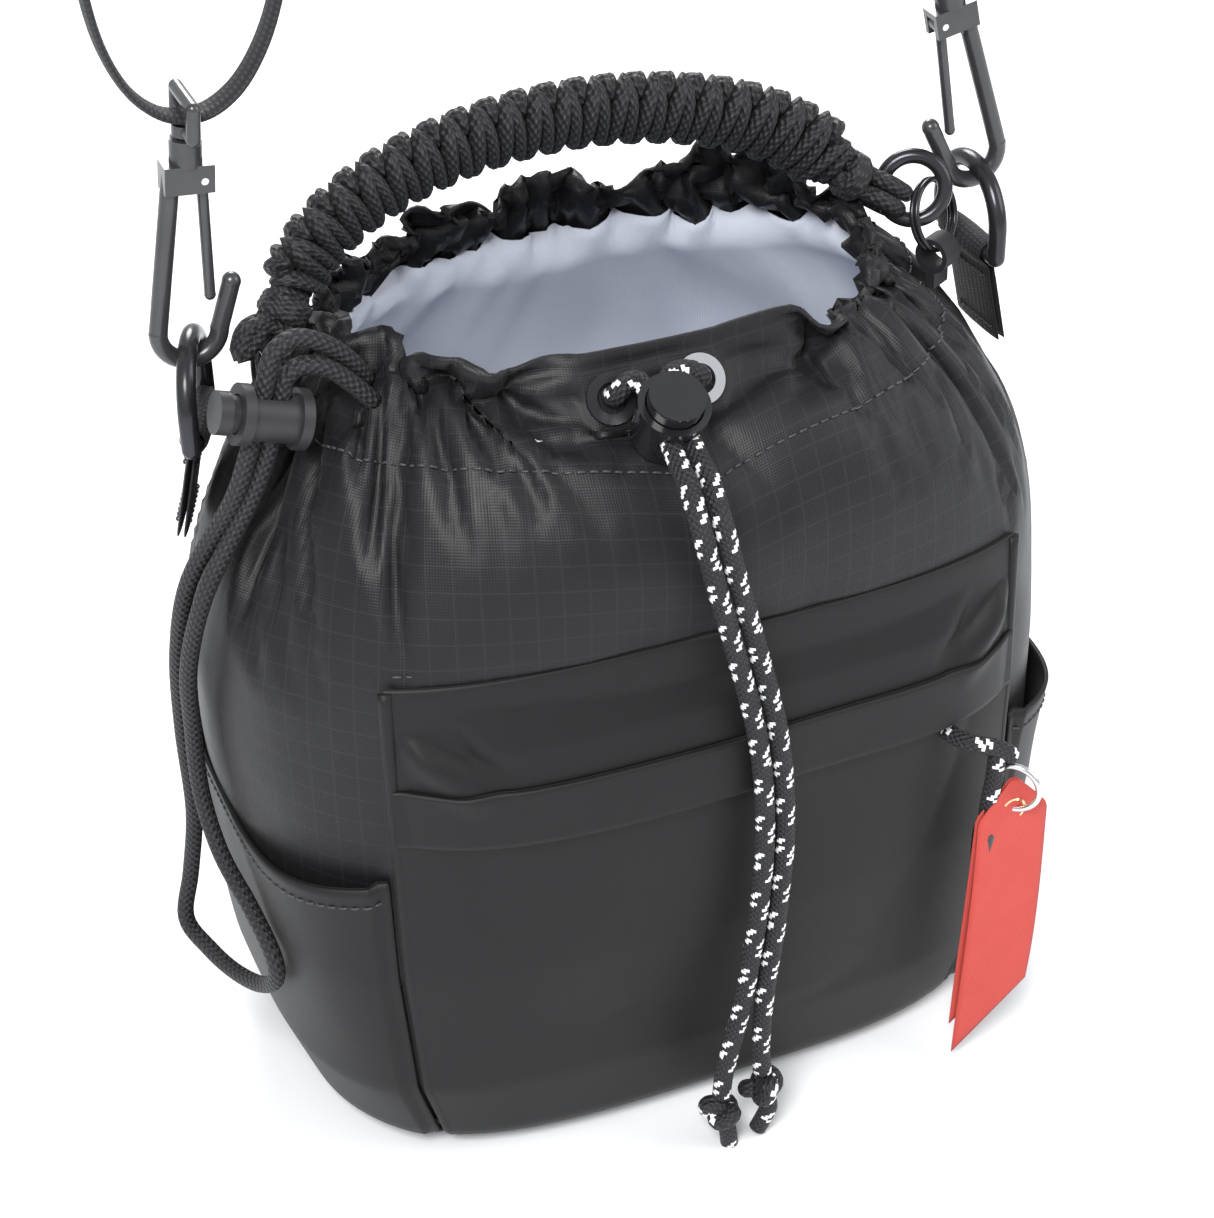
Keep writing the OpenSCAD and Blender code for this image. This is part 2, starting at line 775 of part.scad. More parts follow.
module side_cord_slot(z) {
    slot_r = paracord_d / 2 + 0.2;
    translate([0, 0, z]) rotate([0, 90, 0]) linear_extrude(40, center = true) {
        for (s = [-1, 1]) translate([s * spool_cord_z, 0]) circle(r = slot_r);
        square([2 * spool_cord_z, 2 * slot_r], center = true);
    }
}

module side_lock_body() {
    color(nylon) at_side_lock() difference() {
        union() {
            translate([0, 0, spool_low]) cylinder(h = spool_high - spool_low, r = spool_r - 1.2);
            for (z = [spool_low, spool_high - 2.4]) translate([0, 0, z]) cylinder(h = 2.4, r = spool_r);
        }
        translate([0, 0, spool_low + 1]) cylinder(h = 20, r = plunger_r + 0.3);
        side_cord_slot(0);
    }
}

module side_lock_plunger() {
    low = -5.3;
    cap_z = 8.6;
    color(nylon) at_side_lock() difference() {
        union() {
            translate([0, 0, low]) cylinder(h = cap_z - low + 0.2, r = plunger_r);
            translate([0, 0, cap_z]) cylinder(h = 2.8, r = 4.6);
        }
        side_cord_slot(0);
        side_cord_slot(plunger_travel);
    }
}

module side_lock_spring() {
    color(steel) at_side_lock() translate([0, 0, spool_low + 1.1]) difference() {
        cylinder(h = 1.7, r = 3.2);
        translate([0, 0, -1]) cylinder(h = 5, r = 2.2);
    }
}

// The loop's route: down one strand, round the bottom and up the other
SIDE_CORD = [[-61.5, -17, 189], [-65, -18.5, 195], [-70.5, -19, 200.5], [-76.5, -19, 203], [-81.3, -19.5, 200.8],
    [-83.2, -20, 196.2], [-84.1, -20, 193.3], [-85.95, -20, 187.6], [-87.8, -20, 181.9], [-88.8, -20, 179],
    [-93, -19, 168], [-102.5, -12, 147], [-105.5, -5, 125], [-105.5, 1, 100], [-105, 3, 75], [-107, 6, 55],
    [-110, 4, 43], [-107, -4, 38.5], [-103.5, -14, 38], [-100, -24, 41], [-98, -31.5, 48], [-98.2, -32, 56],
    [-100.2, -24, 64], [-103.5, -14, 74], [-105, -8, 88], [-105, -8, 106], [-105, -12, 125], [-100.5, -18, 147],
    [-89.4, -20, 168], [-84.9, -20, 177.8], [-83.9, -20, 180.7], [-82.05, -20, 186.4], [-80.2, -20, 192.1],
    [-79.3, -20, 194.9], [-76, -20.5, 197.3], [-71, -21, 196], [-66, -21.5, 191.5], [-61.5, -21.5, 186]];

module side_cord() {
    color(nylon) sweep(smooth(SIDE_CORD, 3), paracord_d / 2, paracord_d / 2, [0, 1, 0.1], 8);
}

base_panel();
front_panel();
front_yoke();
back_panel();
side_panel_left();
side_panel_right();
casing_front();
casing_back();
lining();
pocket_upper();
pocket_flap();
pocket_lower();
side_pocket_left();
side_pocket_right();
zip_tape();
zip_slider();
zip_pull_cord();
pull_ring();
tag();
tag_eyelet();
eyelet_left();
eyelet_right();
strap_tab_left();
strap_tab_right();
strap_dring_left();
strap_dring_right();
snap_hook_left();
snap_hook_right();
gate_left();
gate_right();
gate_pin_left();
gate_pin_right();
strap_eye_left();
strap_eye_right();
strap_left();
strap_right();
strap_slider_left();
strap_slider_right();
handle_tab_left();
handle_tab_right();
handle_dring();
handle_oring();
split_ring();
handle();
drawcord_channel();
drawcord_tail_left();
drawcord_tail_right();
drawcord_knot_left();
drawcord_knot_right();
cord_lock_barrel();
cord_lock_button();
cord_lock_spring();
side_lock_body();
side_lock_plunger();
side_lock_spring();
side_cord();
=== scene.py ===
"""Looks of a small drawstring rope bag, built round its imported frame.

Shapes are worked out in millimetres, and add_mesh() turns them into metres.
"""
import math

import bpy
import numpy as np
from mathutils import Matrix, Vector


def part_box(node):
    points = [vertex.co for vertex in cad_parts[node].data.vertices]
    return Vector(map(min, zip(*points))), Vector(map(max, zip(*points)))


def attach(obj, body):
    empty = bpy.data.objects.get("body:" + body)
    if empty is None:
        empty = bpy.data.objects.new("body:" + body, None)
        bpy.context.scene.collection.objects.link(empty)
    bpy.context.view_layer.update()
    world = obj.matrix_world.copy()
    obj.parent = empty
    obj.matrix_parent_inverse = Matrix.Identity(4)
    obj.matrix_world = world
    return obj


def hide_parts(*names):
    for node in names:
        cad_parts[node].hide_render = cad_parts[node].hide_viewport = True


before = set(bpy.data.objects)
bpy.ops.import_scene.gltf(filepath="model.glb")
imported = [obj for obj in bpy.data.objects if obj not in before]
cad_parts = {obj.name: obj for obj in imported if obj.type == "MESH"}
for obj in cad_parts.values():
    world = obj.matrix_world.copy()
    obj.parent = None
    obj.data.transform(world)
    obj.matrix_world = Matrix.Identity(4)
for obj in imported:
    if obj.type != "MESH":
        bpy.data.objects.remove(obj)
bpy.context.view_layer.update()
MM = 0.001
rng = np.random.default_rng(11)


# ---------------------------------------------------------------- camera and light
CAM_TARGET = Vector((-2, -1, 105)) * MM
CAM_DISTANCE = 640 * MM
CAM_AZIMUTH, CAM_ELEVATION, CAM_ROLL = -22.0, 34.0, -1.2
FOCAL_PX, FRAME_PX = 2700, 1218


def make_camera():
    a, e, r = (math.radians(v) for v in (CAM_AZIMUTH, CAM_ELEVATION, CAM_ROLL))
    back = Vector((math.sin(a) * math.cos(e), -math.cos(a) * math.cos(e), math.sin(e)))
    level = Vector((math.cos(a), math.sin(a), 0))
    upright = back.cross(level)
    right = math.cos(r) * level + math.sin(r) * upright
    up = -math.sin(r) * level + math.cos(r) * upright
    data = bpy.data.cameras.new("camera")
    data.sensor_width = 36
    data.lens = 36 * FOCAL_PX / FRAME_PX
    data.clip_start = 0.01
    camera = bpy.data.objects.new("camera", data)
    turn = Matrix((right, up, back)).transposed()
    camera.matrix_world = Matrix.Translation(CAM_TARGET + back * CAM_DISTANCE) @ turn.to_4x4()
    bpy.context.scene.collection.objects.link(camera)
    bpy.context.scene.camera = camera


def area_light(name, place, aim, size, power):
    data = bpy.data.lights.new(name, "AREA")
    data.shape = "DISK"
    data.size = size
    data.energy = power
    lamp = bpy.data.objects.new(name, data)
    lamp.location = place
    lamp.rotation_euler = (Vector(aim) - Vector(place)).to_track_quat("-Z", "Y").to_euler()
    bpy.context.scene.collection.objects.link(lamp)


def make_light():
    world = bpy.data.worlds.new("studio")
    bpy.context.scene.world = world
    world.use_nodes = True
    sky = world.node_tree.nodes["Background"]
    sky.inputs["Color"].default_value = (0.95, 0.97, 1.0, 1)
    sky.inputs["Strength"].default_value = 0.75
    area_light("key", (-0.55, -0.75, 1.05), (0, 0, 0.1), 0.55, 17)
    area_light("fill", (0.9, -0.5, 0.7), (0, 0, 0.1), 0.8, 5)
    area_light("rim", (0.25, 1.0, 0.9), (0, 0, 0.15), 0.6, 12)
    scene = bpy.context.scene
    scene.view_settings.view_transform = "Standard"
    scene.view_settings.look = "None"


# ---------------------------------------------------------------- materials
class Nodes:
    """Short calls for a material's node tree."""

    def __init__(self, name):
        self.material = bpy.data.materials.new(name)
        self.material.use_nodes = True
        self.tree = self.material.node_tree
        self.shader = self.tree.nodes["Principled BSDF"]

    def add(self, kind, **settings):
        node = self.tree.nodes.new(kind)
        for key, value in settings.items():
            setattr(node, key, value)
        return node

    def link(self, a, b):
        self.tree.links.new(a, b)

    def math(self, operation, a, b=0.0, c=None):
        node = self.add("ShaderNodeMath", operation=operation)
        for i, value in enumerate((a, b) if c is None else (a, b, c)):
            if isinstance(value, (int, float)):
                node.inputs[i].default_value = value
            else:
                self.link(value, node.inputs[i])
        return node.outputs[0]

    def uv(self):
        """The UV map's two values, in metres along and across the piece."""
        source = self.add("ShaderNodeUVMap")
        split = self.add("ShaderNodeSeparateXYZ")
        self.link(source.outputs[0], split.inputs[0])
        return split.outputs[0], split.outputs[1]

    def noise(self, scale, detail=3.0, coords="Object"):
        place = self.add("ShaderNodeTexCoord")
        node = self.add("ShaderNodeTexNoise")
        node.inputs["Scale"].default_value = scale
        node.inputs["Detail"].default_value = detail
        self.link(place.outputs[coords], node.inputs["Vector"])
        return node.outputs[0]

    def wave(self, value, pitch, phase=0.0):
        """0 to 1 and back along value, once each pitch."""
        turn = self.math("MULTIPLY_ADD", value, 2 * math.pi / pitch, phase)
        return self.math("MULTIPLY_ADD", self.math("SINE", turn), 0.5, 0.5)

    def mix(self, share, dark, light):
        node = self.add("ShaderNodeMix", data_type="RGBA")
        self.link(share, node.inputs[0])
        for i, colour in ((6, dark), (7, light)):
            if isinstance(colour, tuple):
                node.inputs[i].default_value = (*colour, 1)
            else:
                self.link(colour, node.inputs[i])
        return node.outputs[2]

    def span(self, value, low, high):
        """value from 0..1 to low..high."""
        return self.math("MULTIPLY_ADD", value, high - low, low)

    def bump(self, height, strength, distance):
        node = self.add("ShaderNodeBump")
        node.inputs["Strength"].default_value = strength
        node.inputs["Distance"].default_value = distance
        self.link(height, node.inputs["Height"])
        self.link(node.outputs[0], self.shader.inputs["Normal"])

    def finish(self, roughness=None, sheen=0.0, metallic=0.0, specular=0.5, coat=0.0):
        if roughness is not None:
            if isinstance(roughness, (int, float)):
                self.shader.inputs["Roughness"].default_value = roughness
            else:
                self.link(roughness, self.shader.inputs["Roughness"])
        self.shader.inputs["Sheen Weight"].default_value = sheen
        self.shader.inputs["Sheen Roughness"].default_value = 0.45
        self.shader.inputs["Metallic"].default_value = metallic
        self.shader.inputs["Specular IOR Level"].default_value = specular
        self.shader.inputs["Coat Weight"].default_value = coat
        return self.material


def ripstop_material():
    """Plain weave with a grid of thicker threads."""
    n = Nodes("ripstop")
    u, v = n.uv()
    thread, grid = 0.00062, 0.0056
    weave = n.math("MULTIPLY", n.wave(u, thread), n.wave(v, thread, 1.2))
    lines = [n.math("GREATER_THAN", n.wave(c, grid), 0.985) for c in (u, v)]
    grid_line = n.math("MAXIMUM", *lines)
    tone = n.math("ADD", n.math("MULTIPLY", weave, 0.5), n.math("MULTIPLY", n.noise(28), 0.6))
    base = n.mix(tone, (0.0035, 0.0035, 0.004), (0.012, 0.012, 0.0135))
    colour = n.mix(n.math("MULTIPLY", grid_line, 0.22), base, (0.03, 0.03, 0.034))
    n.link(colour, n.shader.inputs["Base Color"])
    n.bump(n.math("ADD", weave, n.math("MULTIPLY", grid_line, 1.2)), 0.35, 0.00012)
    return n.finish(n.span(n.noise(60), 0.38, 0.56), sheen=0.03, specular=0.3)


def twill_material():
    """Close diagonal weave with a soft sheen."""
    n = Nodes("twill")
    u, v = n.uv()
    diagonal = n.wave(n.math("ADD", u, n.math("MULTIPLY", v, 0.6)), 0.00055)
    tone = n.math("ADD", n.math("MULTIPLY", diagonal, 0.35), n.math("MULTIPLY", n.noise(22), 0.6))
    n.link(n.mix(tone, (0.003, 0.003, 0.0034), (0.009, 0.009, 0.0098)), n.shader.inputs["Base Color"])
    n.bump(diagonal, 0.25, 0.0001)
    return n.finish(n.span(n.noise(45), 0.46, 0.56), sheen=0.03, specular=0.28)


def lining_material():
    n = Nodes("lining")
    u, v = n.uv()
    weave = n.math("MULTIPLY", n.wave(u, 0.0007), n.wave(v, 0.0007))
    n.link(n.mix(n.noise(35), (0.56, 0.59, 0.68), (0.7, 0.73, 0.82)), n.shader.inputs["Base Color"])
    n.bump(n.math("ADD", weave, n.math("MULTIPLY", n.noise(90), 2.0)), 0.3, 0.00015)
    return n.finish(n.span(n.noise(50), 0.5, 0.62))


def webbing_material(name, rib, dark, light, roughness=0.62):
    """Ribbed woven band: fine ribs along, crossed by the weft."""
    n = Nodes(name)
    u, v = n.uv()
    ribs = n.math("MULTIPLY", n.wave(v, rib), n.wave(u, rib * 0.8))
    tone = n.math("ADD", n.math("MULTIPLY", ribs, 0.7), n.math("MULTIPLY", n.noise(120), 0.3))
    n.link(n.mix(tone, dark, light), n.shader.inputs["Base Color"])
    n.bump(ribs, 0.5, 0.0002)
    return n.finish(n.span(n.noise(80), roughness - 0.08, roughness + 0.08), sheen=0.03, specular=0.3)


def cord_material(name, strand, dark, light, roughness=0.55):
    """Braided sheath: two sets of strands that cross; u runs along the cord and v round it, both in metres."""
    n = Nodes(name)
    u, v = n.uv()
    one = n.wave(n.math("ADD", u, v), strand)
    two = n.wave(n.math("SUBTRACT", u, v), strand)
    braid = n.math("MAXIMUM", one, two)
    cells = n.math("MULTIPLY", one, two)
    tone = n.math("MULTIPLY_ADD", cells, 0.8, n.math("MULTIPLY", n.noise(150), 0.3))
    n.link(n.mix(tone, dark, light), n.shader.inputs["Base Color"])
    n.bump(n.math("ADD", braid, cells), 0.8, 0.00028)
    return n.finish(n.span(n.noise(90), roughness - 0.1, roughness + 0.1), sheen=0.03, specular=0.35)


def plain_material(name, dark, light, rough, bump=0.1, scale=60, **finish):
    """Moulded, cast or drawn stuff: slight colour and gloss variation, fine surface grain."""
    n = Nodes(name)
    n.link(n.mix(n.noise(scale), dark, light), n.shader.inputs["Base Color"])
    n.bump(n.noise(scale * 12, 2.0), bump, 0.00008)
    return n.finish(n.span(n.noise(scale * 1.7), rough * 0.8, rough * 1.25), **finish)


MAT = {
    "ripstop": ripstop_material(),
    "twill": twill_material(),
    "lining": lining_material(),
    "webbing": webbing_material("webbing", 0.0011, (0.008, 0.008, 0.009), (0.035, 0.035, 0.038)),
    "strap": webbing_material("strap", 0.0016, (0.01, 0.01, 0.011), (0.045, 0.045, 0.048)),
    "ribbon": webbing_material("ribbon", 0.0006, (0.45, 0.045, 0.035), (0.62, 0.085, 0.065), 0.5),
    "paracord": cord_material("paracord", 0.0019, (0.004, 0.004, 0.0045), (0.034, 0.034, 0.037)),
    "drawcord": cord_material("drawcord", 0.0015, (0.006, 0.006, 0.007), (0.03, 0.03, 0.033)),
    "tracer": plain_material("tracer", (0.72, 0.73, 0.74), (0.9, 0.9, 0.9), 0.45, 0.3, 300),
    "thread": plain_material("thread", (0.02, 0.02, 0.022), (0.05, 0.05, 0.055), 0.45, 0.2, 200),
    "zip_tape": webbing_material("zip_tape", 0.0009, (0.008, 0.008, 0.008), (0.025, 0.025, 0.026)),
    "hook_metal": plain_material("hook_metal", (0.018, 0.018, 0.02), (0.045, 0.045, 0.048), 0.3, 0.25, 90,
                                 coat=0.3),
    "ring_metal": plain_material("ring_metal", (0.02, 0.02, 0.023), (0.05, 0.05, 0.055), 0.22, 0.1, 80,
                                 metallic=0.6),
    "steel": plain_material("steel", (0.62, 0.62, 0.64), (0.8, 0.8, 0.82), 0.16, 0.05, 80, metallic=1.0),
    "brass": plain_material("brass", (0.62, 0.45, 0.25), (0.78, 0.6, 0.36), 0.25, 0.1, 90, metallic=1.0),
    "gloss_black": plain_material("gloss_black", (0.006, 0.006, 0.007), (0.014, 0.014, 0.016), 0.14, 0.05, 50,
                                  coat=0.4),
    "matt_black": plain_material("matt_black", (0.012, 0.012, 0.013), (0.028, 0.028, 0.03), 0.42, 0.2, 70),
}


# ---------------------------------------------------------------- mesh helpers
def add_mesh(name, points, faces, materials, body, uv=None, face_mats=None, replaces=(), smooth=True):
    """points in millimetres; uv has one pair per face corner, in metres."""
    data = bpy.data.meshes.new(name)
    corners = [tuple(p) for p in np.asarray(points, float) * MM]
    data.from_pydata(corners, [], [tuple(map(int, f)) for f in faces])
    for m in [materials] if isinstance(materials, str) else materials:
        data.materials.append(MAT[m])
    if uv is not None:
        layer = data.uv_layers.new(name="UVMap")
        layer.data.foreach_set("uv", np.asarray(uv, np.float32).ravel())
    if face_mats is not None:
        data.polygons.foreach_set("material_index", np.asarray(face_mats, np.int32))
    data.polygons.foreach_set("use_smooth", np.full(len(data.polygons), smooth))
    data.update()
    piece = bpy.data.objects.new(name, data)
    bpy.context.scene.collection.objects.link(piece)
    if body:
        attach(piece, body)
    if replaces:
        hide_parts(*replaces)
    return piece


def thicken(piece, thickness, offset=-1.0):
    solid = piece.modifiers.new("thickness", "SOLIDIFY")
    solid.thickness = thickness * MM
    solid.offset = offset
    return piece


def grid_faces(rows, cols, wrap=False):
    """Quads of a grid of rows x cols points; wrap joins the last column to the first."""
    faces = []
    for i in range(rows - 1):
        for j in range(cols if wrap else cols - 1):
            k = (j + 1) % cols
            faces.append((i * cols + j, i * cols + k, (i + 1) * cols + k, (i + 1) * cols + j))
    return faces


def grid_uv(us, vs, wrap=False):
    """UV pairs in metres for grid_faces: us per column, with one more when wrapped, and vs per row."""
    out = []
    cols = len(us) - 1
    for i in range(len(vs) - 1):
        for j in range(cols):
            out += [(us[j], vs[i]), (us[j + 1], vs[i]), (us[j + 1], vs[i + 1]), (us[j], vs[i + 1])]
    return np.array(out) * MM


def smooth_path(points, steps):
    """Catmull-Rom curve through given points."""
    p = np.array(points, float)
    out = []
    for i in range(len(p) - 1):
        a, b, c, d = p[max(i - 1, 0)], p[i], p[i + 1], p[min(i + 2, len(p) - 1)]
        for k in range(steps):
            u = k / steps
            out.append(0.5 * (2 * b + (c - a) * u + (2 * a - 5 * b + 4 * c - d) * u * u
                              + (3 * b - a - 3 * c + d) * u ** 3))
    out.append(p[-1])
    return np.array(out)


def resample(path, step):
    """Points a set step apart along a path."""
    path = np.asarray(path, float)
    along = np.concatenate([[0], np.cumsum(np.linalg.norm(np.diff(path, axis=0), axis=1))])
    marks = np.linspace(0, along[-1], max(2, int(round(along[-1] / step)) + 1))
    return np.stack([np.interp(marks, along, path[:, k]) for k in range(3)], 1)


def frames(path, side):
    """Tangent, side and normal at each point of a path, turning as little as they can."""
    t = np.gradient(path, axis=0)
    t /= np.linalg.norm(t, axis=1)[:, None]
    s = np.array(side, float)
    sides = []
    for d in t:
        s = s - d * (s @ d)
        s /= np.linalg.norm(s)
        sides.append(s)
    sides = np.array(sides)
    return t, sides, np.cross(t, sides)


def tube_data(path, half_w, half_t, side=(0, 1, 0), sides=12, bulge=None):
    """Points, faces and UVs of a closed tube; bulge(row, angle) is an extra radius in millimetres."""
    path = np.asarray(path, float)
    _, s, n = frames(path, side)
    angle = np.linspace(0, 2 * np.pi, sides, endpoint=False)
    extra = bulge(np.arange(len(path))[:, None], angle[None]) if bulge else np.zeros((len(path), sides))
    points = (path[:, None] + s[:, None] * ((half_w + extra) * np.cos(angle))[..., None]
              + n[:, None] * ((half_t + extra) * np.sin(angle))[..., None]).reshape(-1, 3)
    along = np.concatenate([[0], np.cumsum(np.linalg.norm(np.diff(path, axis=0), axis=1))])
    round_it = np.linspace(0, np.pi * (half_w + half_t), sides + 1)
    faces = grid_faces(len(path), sides, True)
    uv = []
    for i in range(len(path) - 1):
        for j in range(sides):
            uv += [(along[i], round_it[j]), (along[i], round_it[j + 1]),
                   (along[i + 1], round_it[j + 1]), (along[i + 1], round_it[j])]
    faces.append(tuple(range(sides - 1, -1, -1)))
    faces.append(tuple((len(path) - 1) * sides + k for k in range(sides)))
    uv += [(0, 0)] * (2 * sides)
    return points, faces, np.array(uv) * MM


def add_tube(name, path, half_w, half_t, material, body, side=(0, 1, 0), sides=12, replaces=(),
             bulge=None):
    points, faces, uv = tube_data(path, half_w, half_t, side, sides, bulge)
    return add_mesh(name, points, faces, material, body, uv, replaces=replaces)


def joined(parts):
    """Several (points, faces, uv) as one."""
    points, faces, uvs, start = [], [], [], 0
    for p, f, u in parts:
        points.append(p)
        faces += [tuple(i + start for i in q) for q in f]
        uvs.append(u)
        start += len(p)
    return np.concatenate(points), faces, np.concatenate(uvs)


def stitches(name, path, normals, body, pitch=2.7, length=1.9, radius=0.3, lift=0.1):
    """A row of separate thread stitches along a path that lies on a surface."""
    path, normals = np.asarray(path, float), np.asarray(normals, float)
    along = np.concatenate([[0], np.cumsum(np.linalg.norm(np.diff(path, axis=0), axis=1))])
    parts = []
    for start in np.arange(0.4, along[-1] - length, pitch):
        marks = start + length * np.array([0, 0.2, 0.5, 0.8, 1])
        line = np.stack([np.interp(marks, along, path[:, k]) for k in range(3)], 1)
        out = np.stack([np.interp(marks, along, normals[:, k]) for k in range(3)], 1)
        line += out * (lift + radius * 0.6 * np.array([-0.9, 0.3, 0.8, 0.3, -0.9]))[:, None]
        parts.append(tube_data(line, radius, radius, np.cross(out[2], line[-1] - line[0]), 6))
    points, faces, uv = joined(parts)
    return add_mesh(name, points, faces, "thread", body, uv)


def bevelled(node, material, width=0.25):
    """A CAD node that keeps its shape: its material, and a light bevel on its edges."""
    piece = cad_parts[node]
    piece.data.materials.clear()
    piece.data.materials.append(MAT[material])
    for polygon in piece.data.polygons:
        polygon.use_smooth = True
    edge = piece.modifiers.new("edges", "BEVEL")
    edge.width = width * MM
    edge.segments = 2
    edge.limit_method = "ANGLE"
    edge.angle_limit = math.radians(40)
    edge.harden_normals = True
    return piece


# ---------------------------------------------------------------- bag skin
HALF_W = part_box("side_panel_right")[1].x / MM
HALF_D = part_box("back_panel")[1].y / MM
BODY_H = 200.0
RIM_TILT = 0.11
# share of the height, of the half width, of the half depth, corner exponent
PROFILE = np.array([
    (0.00, 0.80, 0.80, 3.6), (0.03, 0.88, 0.92, 3.6), (0.12, 0.95, 0.97, 3.6), (0.30, 0.99, 1.00, 3.6),
    (0.50, 1.00, 1.00, 3.6), (0.68, 1.00, 0.98, 3.4), (0.77, 0.99, 0.94, 3.1), (0.83, 0.92, 0.87, 2.8),
    (0.87, 0.84, 0.79, 2.5), (0.90, 0.77, 0.72, 2.4), (0.94, 0.67, 0.65, 2.3), (0.97, 0.61, 0.60, 2.2),
    (1.00, 0.575, 0.56, 2.2),
])


def shares(v):
    return (np.interp(v, PROFILE[:, 0], PROFILE[:, k]) for k in (1, 2, 3))


def skin(t, v, inset=0.0):
    """Points of the plain skin at angles t, in degrees, and height share v."""
    w, d, power = shares(v)
    c, s = np.cos(np.radians(t)), np.sin(np.radians(t))
    x = (HALF_W * w - inset) * np.sign(c) * np.abs(c) ** (2 / power)
    y = (HALF_D * d - inset) * np.sign(s) * np.abs(s) ** (2 / power)
    return np.stack([x, y, v * BODY_H + RIM_TILT * y * v ** 8], -1)


def skin_y(x, z):
    """Front of the plain skin at x and height z, as a positive distance."""
    w, d, power = shares(z / BODY_H)
    return HALF_D * d * (1 - np.clip(np.abs(x) / (HALF_W * w), 0, 1) ** power) ** (1 / power)


COLS = 300
PIN_V = 0.30
CORD_V = 0.955
CLOTH_ROWS = 56
HEM_ROWS = 4
# rows of cloth from the drawcord down to the lining's top edge, and to the casing's stitches
LINING_ROWS, CASING_ROWS = 5, 9


def even_angles(v, count):
    """Angles, from the middle of the back round to it again, at equal steps of length; and that length."""
    t = np.linspace(90, 450, 4001)
    p = skin(t, v)
    along = np.concatenate([[0], np.cumsum(np.linalg.norm(np.diff(p, axis=0), axis=1))])
    marks = np.linspace(0, along[-1], count + 1)
    return np.interp(marks, along, t)[:count], along[-1]


def gathered_ring():
    """Where the drawcord holds each column: angle round the mouth, pucker outward and rise."""
    angles, around = even_angles(0.5, COLS)
    s = (np.arange(COLS) / COLS - 0.5) * around
    tongue = np.exp(-((s + 8) / 34.0) ** 4)
    keep = 0.5 + 0.5 * tongue
    mouth_t, mouth_len = even_angles(CORD_V, 4000)
    place = np.concatenate([[0], np.cumsum(keep)])
    middle = np.interp(COLS / 2, np.arange(COLS + 1), place)
    left, right = place[:-1] < middle, place[:-1] >= middle
    share = np.where(left, 0.5 * place[:-1] / middle, 0.5 + 0.5 * (place[:-1] - middle) / (place[-1] - middle))
    t = np.interp(share, np.arange(4000) / 4000, mouth_t)
    wave, rise = np.zeros(COLS), np.zeros(COLS)
    start, sign = 0.0, 1.0
    step = around / COLS
    column_s = np.arange(COLS) * step
    while start < around - 4:
        width = min(rng.uniform(6.0, 12.5), around - start)
        inside = (column_s >= start) & (column_s < start + width)
        shape = np.sin(np.pi * (column_s[inside] - start) / width)
        wave[inside] = sign * shape * width * rng.uniform(0.32, 0.52)
        rise[inside] = shape * rng.uniform(-1.6, 1.6)
        start, sign = start + width, -sign
    return t, wave * (1 - 0.93 * tongue), rise * (1 - tongue), tongue


def column_lengths(t):
    """Length of the skin up each column, from the pinned height to the drawcord."""
    v = np.linspace(PIN_V, CORD_V, 60)
    p = np.array([skin(t, k) for k in v])
    return np.linalg.norm(np.diff(p, axis=0), axis=2).sum(0)


EYELET_X = (-17.0, 3.0)
EYELET_Y, EYELET_Z, EYELET_TILT = -42.5, 187.0, math.radians(34)
EYELET_UP = np.array([0, math.sin(EYELET_TILT), math.cos(EYELET_TILT)])
EYELET_OUT = np.array([0, -math.cos(EYELET_TILT), math.sin(EYELET_TILT)])


